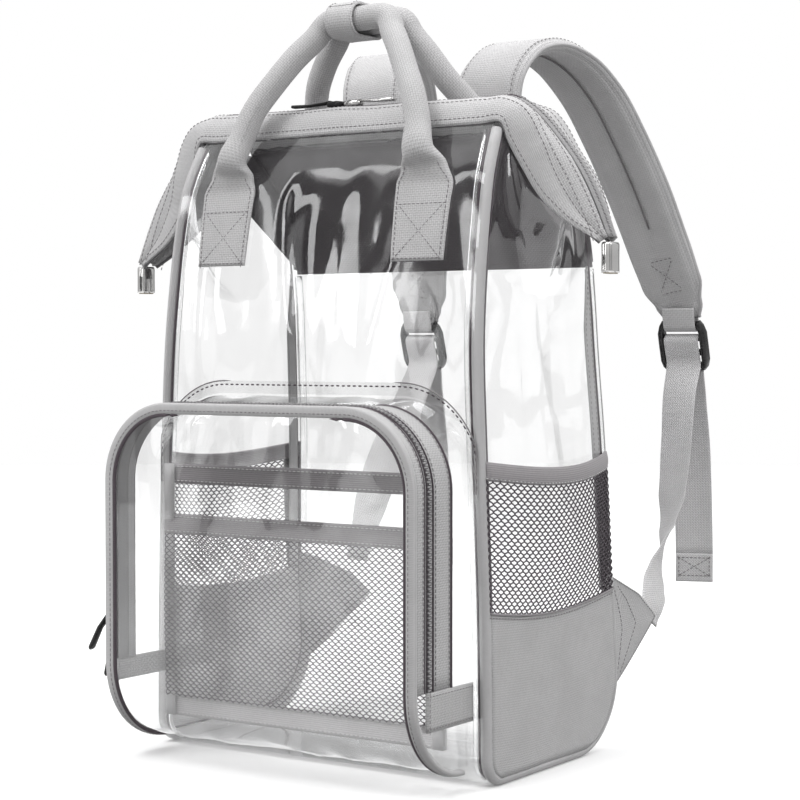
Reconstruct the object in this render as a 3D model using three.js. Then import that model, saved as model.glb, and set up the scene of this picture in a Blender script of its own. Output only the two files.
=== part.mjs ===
import * as THREE from "three";

// Clear backpack with a wide zipped mouth, standing on its base. Millimetres.
// X runs to the right seen from the front, Y to the back, Z up. The origin is the middle of the underside.

// Body
const baseWidth = 260;
const baseDepth = 164;
const bodyHeight = 400;
const frontRadius = 18;
const backRadius = 50;
const vinyl = 1.2;
const fabric = 2;
const pipingRadius = 3.6;
const gap = 0.3;
const yokeHeight = 81;
const yokeFoot = bodyHeight - yokeHeight;
const backBulge = 12;
// Half width, front and back as shares of half the base, up the height.
const bodyRows = [
  { up: 0, side: 1, front: 1, back: 1 },
  { up: 0.125, side: 0.997, front: 1.003, back: 1.02 },
  { up: 0.25, side: 0.992, front: 1.006, back: 0.97 },
  { up: 0.5, side: 0.966, front: 1.012, back: 0.91 },
  { up: 0.65, side: 0.948, front: 1.006, back: 0.85 },
  { up: 0.75, side: 0.941, front: 0.963, back: 0.805 },
  { up: 0.85, side: 0.937, front: 0.89, back: 0.71 },
  { up: 0.925, side: 0.928, front: 0.8, back: 0.46 },
  { up: 1, side: 0.911, front: 0.622, back: 0.04 },
];

// Mouth: two wired bands meet at a zip, and their ends droop to a clip on each side.
const bandThickness = 2.6;
const bandClear = 1.8;
const cordClear = 2.6;
const rightArm = { reach: 62, drop: 73 };
const leftArm = { reach: 71, drop: 80 };
const mouthLean = 27;
const zipHalf = 4.6;
const zipTape = 1.6;
const zipTeeth = 2.6;
// Shares of the reach, of the lean to the front or back, and of the drop, for the crown and hem of each band.
const zipRows = [
  { out: -0.07, drop: -0.24, spread: 0 },
  { out: 0.187, drop: -0.11, spread: 0.3 },
  { out: 0.445, drop: 0.123, spread: 0.6 },
  { out: 0.687, drop: 0.397, spread: 0.9 },
  { out: 0.88, drop: 0.712, spread: 1 },
  { out: 1, drop: 0.965, spread: 1 },
];
const frontCrownRows = [
  { out: -0.04, lean: 0.74, drop: -0.205 },
  { out: 0.203, lean: 0.74, drop: -0.11 },
  { out: 0.373, lean: 0.63, drop: 0.15 },
  { out: 0.494, lean: 0.48, drop: 0.438 },
  { out: 0.72, lean: 0.34, drop: 0.76 },
  { out: 0.97, lean: 0.26, drop: 0.98 },
];
const backCrownRows = [
  { out: -0.04, lean: 0.74, drop: -0.205 },
  { out: 0.22, lean: 0.74, drop: -0.11 },
  { out: 0.5, lean: 0.74, drop: 0.24 },
  { out: 0.7, lean: 0.68, drop: 0.49 },
  { out: 0.86, lean: 0.5, drop: 0.78 },
  { out: 0.98, lean: 0.26, drop: 0.98 },
];
const frontHemRows = [
  { out: 0, lean: 1, drop: 0 },
  { out: 0.058, lean: 0.89, drop: 0.164 },
  { out: 0.187, lean: 0.74, drop: 0.397 },
  { out: 0.332, lean: 0.6, drop: 0.616 },
  { out: 0.56, lean: 0.46, drop: 0.81 },
  { out: 0.93, lean: 0.32, drop: 1 },
];
const backHemRows = [
  { out: 0, lean: 1, drop: 0 },
  { out: 0.07, lean: 0.92, drop: 0.164 },
  { out: 0.22, lean: 0.86, drop: 0.397 },
  { out: 0.42, lean: 0.74, drop: 0.616 },
  { out: 0.64, lean: 0.56, drop: 0.81 },
  { out: 0.94, lean: 0.32, drop: 1 },
];
const clipWidth = 12;
const clipThick = 7;
const clipHeight = 19;
const clipSheet = 1.2;
const sliderLength = 13;
const sliderPlace = -16;

// Side pockets
const seamEnds = 105;
const seamMiddle = 98;
const netTopEnds = 184.5;
const netTopMiddle = 178.5;
const netBand = 11;
const netBulge = 11;
// Grey tape inside the side panels, in from the rear seam.
const bindingClear = 3;
const backBinding = 9;

// Carry handles
const patchWidth = 38;
const patchOut = 76;
const tubeWidth = 16;
// Legs of a handle: share of the patch distance outwards, rise over the body's top, distances of the handles
// from the mouth plane where they leave the panel, shares of width and thickness, and how round they are.
const legRows = [
  { out: 1, rise: -84, wide: 1, thick: 0.13, round: 0 },
  { out: 1, rise: -72, wide: 1.02, thick: 0.13, round: 0 },
  { out: 1, rise: -60, wide: 1.04, thick: 0.13, round: 0 },
  { out: 1, rise: -48, wide: 1.06, thick: 0.14, round: 0 },
  { out: 1, rise: -37, wide: 1.08, thick: 0.16, round: 0 },
  { out: 0.98, rise: -26, wide: 0.86, thick: 0.4, round: 0.4 },
  { out: 0.95, rise: -15, front: 48, back: 50, wide: 0.54, thick: 0.9, round: 0.9 },
  { out: 0.9, rise: -1, front: 42, back: 42, wide: 0.45, thick: 1.04, round: 1 },
  { out: 0.82, rise: 17, front: 37, back: 31, wide: 0.42, thick: 1, round: 1 },
  { out: 0.67, rise: 36, front: 29, back: 17, wide: 0.42, thick: 1, round: 1 },
  { out: 0.53, rise: 52, front: 21, back: 12, wide: 0.42, thick: 1, round: 1 },
  { out: 0.4, rise: 64, front: 13.5, back: 9.8, wide: 0.42, thick: 1, round: 1 },
  { out: 0.3, rise: 74.4, front: 8.7, back: 8.7, wide: 0.42, thick: 1, round: 1 },
  { out: 0, rise: 75, front: 8.7, back: 8.7, wide: 0.42, thick: 1, round: 1 },
];
const wrapLength = 21;
const wrapThick = 1.8;
const wrapFlap = 20;
const wrapPlace = -8;

// Shoulder straps
const strapOut = 46;
const strapWidth = 49;
const strapThick = 11;
// Middle line of the right strap: outwards, back, rise over the body's top, shares of width and thickness.
// The rows with no distance back are sewn down, over the patch of the back handle.
const strapRows = [
  { x: 0, rise: -78, wide: 1, thick: 0.3 },
  { x: 0, rise: -62, wide: 1, thick: 0.35 },
  { x: 0, y: 64, rise: -40, wide: 1, thick: 0.9 },
  { x: 0, y: 57, rise: -8, wide: 1, thick: 1 },
  { x: 0, y: 52, rise: 20, wide: 1, thick: 1 },
  { x: 2, y: 55, rise: 44, wide: 1, thick: 1 },
  { x: 7, y: 70, rise: 61, wide: 1, thick: 1 },
  { x: 14, y: 92, rise: 66, wide: 1, thick: 1 },
  { x: 22, y: 118, rise: 58, wide: 1, thick: 1 },
  { x: 31, y: 140, rise: 38, wide: 1, thick: 1 },
  { x: 39, y: 158, rise: 10, wide: 1, thick: 1 },
  { x: 48, y: 176, rise: -26, wide: 1, thick: 1 },
  { x: 56, y: 192, rise: -64, wide: 0.98, thick: 0.95 },
  { x: 62, y: 202, rise: -91, wide: 0.94, thick: 0.75 },
  { x: 65, y: 208, rise: -106, wide: 0.72, thick: 0.45 },
  { x: 66, y: 212, rise: -116, wide: 0.56, thick: 0.3 },
];
const buckleWidth = 36;
const buckleHeight = 34;
const buckleThick = 5;
const buckleTilt = 0.28;
const webWidth = 27;
const webThick = 1.6;
// Webbing from the buckle to the tab, below its seat on the buckle: place, and turn of its width from side
// to side (0) to front to back (90).
const webRows = {
  right: [
    { x: 66, y: 207, z: 230, turn: -6 },
    { x: 65, y: 204, z: 192, turn: -12 },
    { x: 63, y: 202, z: 160, turn: -20 },
    { x: 62, y: 198, z: 138, turn: -42 },
    { x: 63, y: 187, z: 119, turn: -68 },
    { x: 67, y: 170, z: 102, turn: -84 },
    { x: 71, y: 158, z: 92, turn: -90 },
    { x: 73, y: 150, z: 86, turn: -90 },
  ],
  left: [
    { x: 66, y: 202, z: 232, turn: -8 },
    { x: 65, y: 180, z: 206, turn: -20 },
    { x: 65, y: 160, z: 178, turn: -38 },
    { x: 67, y: 146, z: 150, turn: -60 },
    { x: 70, y: 138, z: 124, turn: -80 },
    { x: 73, y: 134, z: 104, turn: -90 },
  ],
};
// Free tail of the webbing, by its distance down from the middle of the buckle.
const tailRows = [
  { x: 65.5, y: 223, down: 40, turn: 8 },
  { x: 65, y: 230, down: 75, turn: 14 },
  { x: 64.5, y: 234, down: 115, turn: 18 },
  { x: 64, y: 237, down: 153, turn: 20 },
];
const tailFold = 20;
const tabTop = 112;
const tabFoot = 40;
const tabThick = 3;
// Outer edge of the tab as shares of its height, with its reach behind the body.
const tabRows = [
  { up: 0, reach: 2, z: 0 },
  { up: 0.22, reach: 30, z: 19 },
  { up: 0.47, reach: 64, z: 40 },
  { up: 0.74, reach: 40, z: 57 },
  { up: 1, reach: 2, z: 72 },
];

// Front pocket
const pocketHalf = 118.5;
const pocketTop = 229;
const pocketFoot = 11;
const pocketDepth = 60;
const pocketCorner = 50;
const pocketCurve = 52;
const bindingWidth = 7;
const bindingThick = 3.6;
const zipFoot = 64;
const frontTape = 6.5;
const pocketTeeth = 9.5;
const rearTape = 18;
const flangeWidth = 9.5;
const stopTabHeight = 23;
const pullLength = 36;
// Organiser sewn on the front panel inside the pocket: heights of its seams.
const organiserHalf = 114;
const organiserFoot = 21;
const hemTop = 34;
const netBandFoot = 141;
const netBandTop = 154;
const topBandFoot = 174;
const topBandTop = 187;

const V = (x, y, z) => new THREE.Vector3(x, y, z);
const mix = (a, b, t) => a + (b - a) * t;
const root = new THREE.Group();

function add(name, geometry, color, roughness, extra = {}) {
  const material = new THREE.MeshStandardMaterial({ color, roughness, ...extra });
  material.name = name;
  const mesh = new THREE.Mesh(geometry, material);
  mesh.name = name;
  root.add(mesh);
  return mesh;
}
const clear = { transparent: true, opacity: 0.25 };
const addVinyl = (name, geometry) => add(name, geometry, "#eef2f4", 0.12, clear);
const addFabric = (name, geometry) => add(name, geometry, "#b9b9bb", 0.9);
const addDark = (name, geometry) => add(name, geometry, "#7d797c", 0.9);
const addBlack = (name, geometry) => add(name, geometry, "#1d1b1d", 0.45);
const addChrome = (name, geometry) => add(name, geometry, "#d4d4d6", 0.15, { metalness: 1 });

// A column of a table at one place, on a smooth line through its rows.
function at(rows, key, column, place) {
  const last = rows.length - 1;
  let i = 0;
  while (i < last - 1 && place > rows[i + 1][key]) i += 1;
  const slope = (k) => {
    const a = rows[Math.max(k - 1, 0)];
    const b = rows[Math.min(k + 1, last)];
    return (b[column] - a[column]) / (b[key] - a[key]);
  };
  const span = rows[i + 1][key] - rows[i][key];
  const t = THREE.MathUtils.clamp((place - rows[i][key]) / span, 0, 1);
  const start = rows[i][column];
  const end = rows[i + 1][column];
  const bend = t * (1 - t);
  const lead = slope(i) * span - (end - start);
  const trail = end - start - slope(i + 1) * span;
  return mix(start, end, t) + bend * (lead * (1 - t) + trail * t);
}

// Points lie on whole micrometres.
const rounded = (value) => Math.round(value * 1000) / 1000;

// A closed solid through rings of points, joined wall by wall and capped at both ends.
function solid(rings) {
  const count = rings[0].length;
  const faces = [];
  const quad = (a, b, c, d) => faces.push(a, b, c, a, c, d);
  for (let i = 0; i < rings.length - 1; i += 1) {
    for (let k = 0; k < count; k += 1) {
      const n = (k + 1) % count;
      quad(rings[i][k], rings[i][n], rings[i + 1][n], rings[i + 1][k]);
    }
  }
  const first = rings[0];
  const last = rings[rings.length - 1];
  for (let k = 0; k < count / 2 - 1; k += 1) {
    quad(first[k + 1], first[k], first[count - 1 - k], first[count - 2 - k]);
    quad(last[k], last[k + 1], last[count - 2 - k], last[count - 1 - k]);
  }
  let volume = 0;
  for (let i = 0; i < faces.length; i += 3) {
    volume += faces[i].dot(V(0, 0, 0).crossVectors(faces[i + 1], faces[i + 2]));
  }
  if (volume < 0) faces.reverse();
  const positions = faces.flatMap((p) => [p.x, p.y, p.z].map(rounded));
  const geometry = new THREE.BufferGeometry();
  geometry.setAttribute("position", new THREE.Float32BufferAttribute(positions, 3));
  return geometry;
}

// A sheet through a grid of points, made thick towards the point inside, or away from it.
function sheet(grid, thickness, inside, outwards = false) {
  const rows = grid.length - 1;
  const columns = grid[0].length - 1;
  const normal = (i, j) => {
    const a = V(0, 0, 0).subVectors(grid[i][Math.min(j + 1, columns)], grid[i][Math.max(j - 1, 0)]);
    const b = V(0, 0, 0).subVectors(grid[Math.min(i + 1, rows)][j], grid[Math.max(i - 1, 0)][j]);
    return a.cross(b).normalize();
  };
  let towards = 0;
  grid.forEach((row, i) => row.forEach((p, j) => {
    towards += Math.sign(normal(i, j).dot(V(0, 0, 0).subVectors(inside, p)));
  }));
  const step = Math.sign(towards) * (outwards ? -thickness : thickness);
  const rings = grid.map((row, r) => {
    const other = row.map((p, c) => p.clone().addScaledVector(normal(r, c), step));
    return [...row, ...other.reverse()];
  });
  return solid(rings);
}

const range = (count) => Array.from({ length: count + 1 }, (_, i) => i / count);
const grid = (rows, columns, point) => range(rows).map((v) => range(columns).map((u) => point(u, v)));

// Sections of sweeps, in shares of half the width and half the thickness.
const flatSection = [[1, 1], [-1, 1], [-1, -1], [1, -1]];
const softSection = [
  [1, 0.35], [0.85, 1], [-0.85, 1], [-1, 0.35], [-1, -0.35], [-0.85, -1], [0.85, -1], [1, -0.35],
];
const roundSection = [
  [0.924, 0.383], [0.383, 0.924], [-0.383, 0.924], [-0.924, 0.383],
  [-0.924, -0.383], [-0.383, -0.924], [0.383, -0.924], [0.924, -0.383],
];

// A sweep through stations that each give a place, two directions, a width and a thickness.
function sweep(stations) {
  return solid(stations.map(({ place, across, out, wide, thick, section }) =>
    section.map(([a, b]) => place.clone()
      .addScaledVector(across, (a * wide) / 2)
      .addScaledVector(out, (b * thick) / 2))));
}

// Stations along a line, with the width turned as near as it can be to a given direction.
function along(points, widthway, wide, thick, section) {
  return points.map((place, i) => {
    const before = points[Math.max(i - 1, 0)];
    const after = points[Math.min(i + 1, points.length - 1)];
    const tangent = V(0, 0, 0).subVectors(after, before).normalize();
    const across = widthway.clone().addScaledVector(tangent, -tangent.dot(widthway)).normalize();
    const out = V(0, 0, 0).crossVectors(across, tangent).normalize();
    return { place, across, out, wide, thick, section };
  });
}

// A line through the rows of a table, as so many points.
const smooth = (points, count) =>
  new THREE.CatmullRomCurve3(points, false, "centripetal").getPoints(count);

// Body outline
const half = (z) => (baseWidth / 2) * at(bodyRows, "up", "side", z / bodyHeight);
const front = (z) => -(baseDepth / 2) * at(bodyRows, "up", "front", z / bodyHeight);
const back = (z) => (baseDepth / 2) * at(bodyRows, "up", "back", z / bodyHeight);
// A panel that leans needs a longer inset along Y for the same clearance.
const lean = (line, z) => Math.hypot(1, (line(z) - line(z - 4)) / 4);
const corner = (line, radius, inset, z) => {
  if (z >= radius) return inset * lean(line, z);
  return radius - Math.sqrt(Math.max((radius - inset) ** 2 - (radius - z) ** 2, 0));
};
const frontEdge = (z, inset) => front(z) + corner(front, frontRadius, inset, z);
const backEdge = (z, inset) => back(z) - corner(back, backRadius, inset, z);
const seamInset = (thickness) =>
  pipingRadius + Math.sqrt(pipingRadius ** 2 - (pipingRadius - thickness) ** 2) + gap;
const vinylInset = seamInset(vinyl);
const fabricInset = seamInset(fabric);
const panelTop = bodyHeight - bandClear;
const middle = V(0, 0, bodyHeight / 2);

function bodyPanels() {
  const across = (u, z, inset) => mix(-1, 1, u) * (half(z) - inset);
  const frontGrid = grid(15, 6, (u, v) => {
    const z = mix(frontRadius + gap * 2, panelTop, v);
    return V(across(u, z, vinylInset), front(z), z);
  });
  addVinyl("front_panel", sheet(frontGrid, vinyl, middle));
  const bend = (share) => (Math.PI / 2) * share;
  const base = [];
  for (const share of range(3)) {
    const z = frontRadius * (1 - Math.sin(bend(share)));
    base.push([front(z) + frontRadius * (1 - Math.cos(bend(share))), z]);
  }
  for (const share of range(6)) {
    const z = backRadius * (1 - Math.cos(bend(share)));
    base.push([back(z) - backRadius * (1 - Math.sin(bend(share))), z]);
  }
  const baseGrid = base.map(([y, z]) => range(4).map((u) => V(across(u, z, vinylInset), y, z)));
  addVinyl("base_panel", sheet(baseGrid, vinyl, middle));
  const backGrid = grid(10, 8, (u, v) => {
    const z = mix(backRadius + gap * 2, yokeFoot - gap, v);
    const bulge = backBulge * (1 - Math.abs(mix(-1, 1, u)) ** 5) * Math.sin(Math.PI * v) ** 0.5;
    return V(across(u, z, vinylInset), back(z) + bulge, z);
  });
  addVinyl("back_panel", sheet(backGrid, vinyl, middle));
  const yokeGrid = grid(8, 4, (u, v) => {
    const z = mix(yokeFoot, panelTop, v);
    return V(across(u, z, fabricInset), back(z), z);
  });
  addFabric("back_yoke", sheet(yokeGrid, fabric, middle));
}

// Mouth bands
const mouthPlane = front(bodyHeight) + mouthLean;
const mouthHalf = half(bodyHeight);
const armPoint = (row, arm, sign, shift) => V(
  mouthHalf + arm.reach * row.out,
  mouthPlane + sign * (row.lean ? mouthLean * row.lean : shift + bandThickness * row.spread),
  bodyHeight - arm.drop * row.drop,
);

// One line of a band from the left tail over the ridge to the right tail.
function bandLine(rows, sign, shift = 0) {
  const armLine = (arm) => {
    const points = rows.map((row) => armPoint(row, arm, sign, shift));
    return smooth([points[0].clone().setX(points[0].x - 14), ...points], 11);
  };
  const left = armLine(leftArm).map((p) => V(-p.x, p.y, p.z)).reverse();
  const right = armLine(rightArm);
  return [...left, V(0, right[0].y, (left[11].z + right[0].z) / 2), ...right];
}

const zipLine = bandLine(zipRows, 0);
const hems = { front: bandLine(frontHemRows, -1), back: bandLine(backHemRows, 1) };

function mouthBands() {
  const sides = [
    ["front", -1, frontCrownRows, hems.front],
    ["back", 1, backCrownRows, hems.back],
  ];
  for (const [name, sign, crownRows, hem] of sides) {
    const crown = bandLine(crownRows, sign);
    const edge = bandLine(zipRows, sign, zipHalf + gap);
    const rows = hem.map((p, i) => {
      const line = new THREE.CatmullRomCurve3([p, crown[i], edge[i]], false, "centripetal");
      return line.getPoints(4);
    });
    addFabric(`mouth_band_${name}`, sheet(rows, bandThickness, V(0, mouthPlane, bodyHeight)));
  }
  const tape = along(zipLine, V(0, 1, 0), zipHalf * 2, zipTape, flatSection);
  const teeth = [[1, -1], [1, 0], [0.4, 0], [0.4, 1], [-0.4, 1], [-0.4, 0], [-1, 0], [-1, -1]];
  const section = teeth.map(([a, b]) => [a, (b * zipTeeth) / zipTape]);
  const stations = tape.map((s) => ({
    ...s,
    section: section.map(([a, b]) => [a, b * (s.out.z < 0 ? -1 : 1)]),
  }));
  addDark("main_zip", sweep(stations));
}

// Clips on the tails and sliders on the ridge
function mouthMetal() {
  const tails = [["left", zipLine[0], 1], ["right", zipLine[zipLine.length - 1], -1]];
  for (const [name, tail, inward] of tails) {
    const fold = new THREE.Shape();
    fold.moveTo(-clipThick / 2, -clipHeight);
    fold.lineTo(-clipThick / 2, 0);
    fold.lineTo(clipThick / 2, 0);
    fold.lineTo(clipThick / 2, -clipHeight);
    fold.lineTo(clipThick / 2 - clipSheet, -clipHeight);
    fold.lineTo(clipThick / 2 - clipSheet, -clipSheet);
    fold.lineTo(-clipThick / 2 + clipSheet, -clipSheet);
    fold.lineTo(-clipThick / 2 + clipSheet, -clipHeight);
    const clip = new THREE.ExtrudeGeometry(fold, { depth: clipWidth, bevelEnabled: false });
    clip.rotateX(Math.PI / 2);
    clip.translate(tail.x + inward, mouthPlane + clipWidth / 2, tail.z - bandThickness - gap);
    addChrome(`zip_end_clip_${name}`, clip);
  }
  const ridge = zipLine[Math.floor(zipLine.length / 2)].z + zipTeeth / 2 + gap;
  const sliders = [["left", -1, 30], ["right", 1, 26]];
  for (const [name, side, pull] of sliders) {
    const rows = [
      { x: 1, rise: 2.2, wide: 8, thick: 4 },
      { x: sliderLength, rise: 2.2, wide: 8, thick: 4 },
      { x: sliderLength + 1.5, rise: 2.4, wide: 5, thick: 2.4 },
      { x: sliderLength + pull, rise: 3, wide: 5.5, thick: 2.2 },
    ];
    const stations = rows.map((r) => ({
      place: V(side * r.x + sliderPlace, mouthPlane, ridge + r.rise),
      across: V(0, 1, 0),
      out: V(0, 0, 1),
      wide: r.wide,
      thick: r.thick,
      section: softSection,
    }));
    const make = side < 0 ? addBlack : addChrome;
    make(`main_zip_slider_${name}`, sweep(stations));
  }
}

// Side panels, side pockets and piping
const seam = (u) => mix(seamEnds, seamMiddle, Math.sin(Math.PI * u));
const netTop = (u) => mix(netTopEnds, netTopMiddle, Math.sin(Math.PI * u));

function sidePieces() {
  const foot = bodyHeight * 0.74;
  const tailIndex = hems.front.length - 1;
  const cornerIndex = tailIndex - 9;
  const tops = (side) => (u) => {
    const hem = u < 0.5 ? hems.front : hems.back;
    const outer = (i) => hem[side < 0 ? tailIndex - i : i].clone();
    const place = mix(cornerIndex, tailIndex, 1 - Math.abs(1 - 2 * u));
    const i = Math.min(Math.floor(place), tailIndex - 1);
    const point = outer(i).lerp(outer(i + 1), place - i);
    point.setX(Math.abs(point.x));
    if (u === 0.5) point.setY(mouthPlane);
    return point.add(V(-bandClear, 0, -bandClear * 1.5));
  };
  const plain = (u, z, inset, out) =>
    V(half(z) + out, mix(frontEdge(z, inset), backEdge(z, inset), u), z);
  const tent = (top) => (u, v) => {
    const z = mix(foot, panelTop, v);
    const point = plain(u, foot, vinylInset, 0).lerp(top(u), v);
    const ends = [[0, Math.max(0, 1 - 3 * u)], [1, Math.max(0, 3 * u - 2)]];
    for (const [end, weight] of ends) {
      const ruled = plain(end, foot, vinylInset, 0).lerp(top(end), v);
      const inset = vinylInset + gap * 4 * Math.min(1, v * 3);
      point.addScaledVector(plain(end, z, inset, 0).sub(ruled), weight);
    }
    return point;
  };
  for (const [name, side] of [["left", -1], ["right", 1]]) {
    const turn = (rows) => rows.map((row) => row.map((p) => V(side * p.x, p.y, p.z)));
    const inside = V(0, 0, bodyHeight / 4);
    const wall = [
      ...grid(5, 8, (u, v) => plain(u, mix(seam(u) + gap, foot, v), vinylInset, 0)),
      ...grid(9, 8, tent(tops(side))).slice(1),
    ];
    addVinyl(`side_panel_${name}`, sheet(turn(wall), vinyl, inside));
    const lower = grid(7, 6, (u, v) => plain(u, mix(fabricInset, seam(u) - gap, v), fabricInset, 0));
    addFabric(`side_base_${name}`, sheet(turn(lower), fabric, inside));
    const bow = (u, v) => gap + netBulge * Math.sin(Math.PI * u) ** 0.8 * Math.sin((Math.PI / 2) * v) ** 0.8;
    const net = grid(5, 8, (u, v) => plain(u, mix(seam(u), netTop(u), v), pipingRadius, bow(u, v)));
    addDark(`side_net_${name}`, sheet(turn(net), vinyl, inside, true));
    const band = grid(1, 8, (u, v) =>
      plain(u, netTop(u) + gap + v * netBand, pipingRadius, bow(u, 1)));
    addDark(`side_net_band_${name}`, sheet(turn(band), fabric, inside, true));
    const line = [];
    const edge = (z) => {
      line.push(V(half(z) - pipingRadius, frontEdge(z, pipingRadius), z));
    };
    for (const v of range(9)) edge(mix(panelTop - cordClear, frontRadius, v));
    for (const v of range(3).slice(1)) {
      edge(frontRadius - (frontRadius - pipingRadius) * Math.sin((Math.PI / 2) * v));
    }
    const rear = (z) => {
      line.push(V(half(z) - pipingRadius, backEdge(z, pipingRadius), z));
    };
    for (const v of range(6)) rear(backRadius - (backRadius - pipingRadius) * Math.cos((Math.PI / 2) * v));
    for (const v of range(3).slice(1)) rear(mix(backRadius, tabTop, v));
    const cordOf = (points) => {
      const mirrored = points.map((p) => V(side * p.x, p.y, p.z));
      return sweep(along(mirrored, V(1, 0, 0), pipingRadius * 2, pipingRadius * 2, roundSection));
    };
    addFabric(`side_piping_${name}`, cordOf(line));
    line.length = 0;
    for (const v of range(12)) rear(mix(tabTop + gap, panelTop - cordClear * 1.5, v));
    addVinyl(`back_seam_${name}`, cordOf(line));
    const binding = grid(8, 1, (u, v) => {
      const z = mix(seamEnds + gap, foot, v);
      const y = backEdge(z, vinylInset) - bindingClear - (1 - u) * backBinding;
      return V(half(z) - vinyl - gap, y, z);
    });
    addFabric(`back_binding_${name}`, sheet(turn(binding), vinyl, inside));
  }
}

// Handles, from patch to patch
function handles() {
  const makeHandle = (name, sign, face) => {
    const leg = legRows.map((row) => {
      const z = bodyHeight + row.rise;
      const thick = tubeWidth * row.thick;
      const off = row[sign < 0 ? "front" : "back"];
      const clearance = gap * 2 + (thick / 2) * (row.rise < 0 ? lean(face, z) : 0);
      const panel = row.rise < 0 ? sign * face(z) + clearance : -bodyHeight;
      const free = off ? sign * mouthPlane + off : -bodyHeight;
      return { ...row, z, y: sign * Math.max(panel, free), thick };
    });
    const stations = [];
    for (const side of [-1, 1]) {
      const rows = side < 0 ? leg : leg.slice(0, -1).reverse();
      for (const row of rows) {
        stations.push({ row, place: V(side * patchOut * row.out, row.y, row.z) });
      }
    }
    const line = along(stations.map((s) => s.place), V(0, 1, 0), 1, 1, roundSection);
    const ring = line.map((s, i) => {
      const { row } = stations[i];
      const flat = 1 - row.round;
      const across = V(s.out.x < 0 ? -1 : 1, 0, 0).lerp(s.out, row.round).normalize();
      const out = s.across.clone().lerp(V(0, 1, 0), flat).normalize();
      const section = roundSection.map(([a, b], k) => [
        mix(a, softSection[k][0], flat),
        mix(b, softSection[k][1], flat),
      ]);
      return { place: s.place, across, out, wide: patchWidth * row.wide, thick: row.thick, section };
    });
    addFabric(name, sweep(ring));
  };
  makeHandle("front_handle", -1, front);
  makeHandle("back_handle", 1, back);
}

// The wrap closes round both handles and its free end stands out to the back.
function handleWrap() {
  const top = legRows[legRows.length - 1];
  const inner = tubeWidth / 2 + 1.3;
  const spread = top.front;
  const shape = new THREE.Shape();
  shape.absarc(-spread, 0, inner + wrapThick, Math.PI / 2, (Math.PI * 3) / 2, false);
  shape.absarc(spread, 0, inner + wrapThick, -Math.PI / 2, Math.PI / 4, false);
  shape.lineTo(spread + wrapFlap, inner + wrapThick * 1.4);
  shape.lineTo(spread + wrapFlap, inner + wrapThick * 2.6);
  shape.lineTo(spread, inner + wrapThick * 1.4);
  const hole = new THREE.Path();
  hole.absarc(-spread, 0, inner, Math.PI / 2, (Math.PI * 3) / 2, false);
  hole.absarc(spread, 0, inner, -Math.PI / 2, Math.PI / 2, false);
  shape.holes.push(hole);
  const options = { depth: wrapLength, bevelEnabled: false, curveSegments: 6 };
  const wrap = new THREE.ExtrudeGeometry(shape, options);
  wrap.rotateX(Math.PI / 2);
  wrap.rotateZ(Math.PI / 2);
  wrap.translate(wrapPlace - wrapLength / 2, mouthPlane, bodyHeight + top.rise - gap);
  addFabric("handle_wrap", wrap);
}

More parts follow.
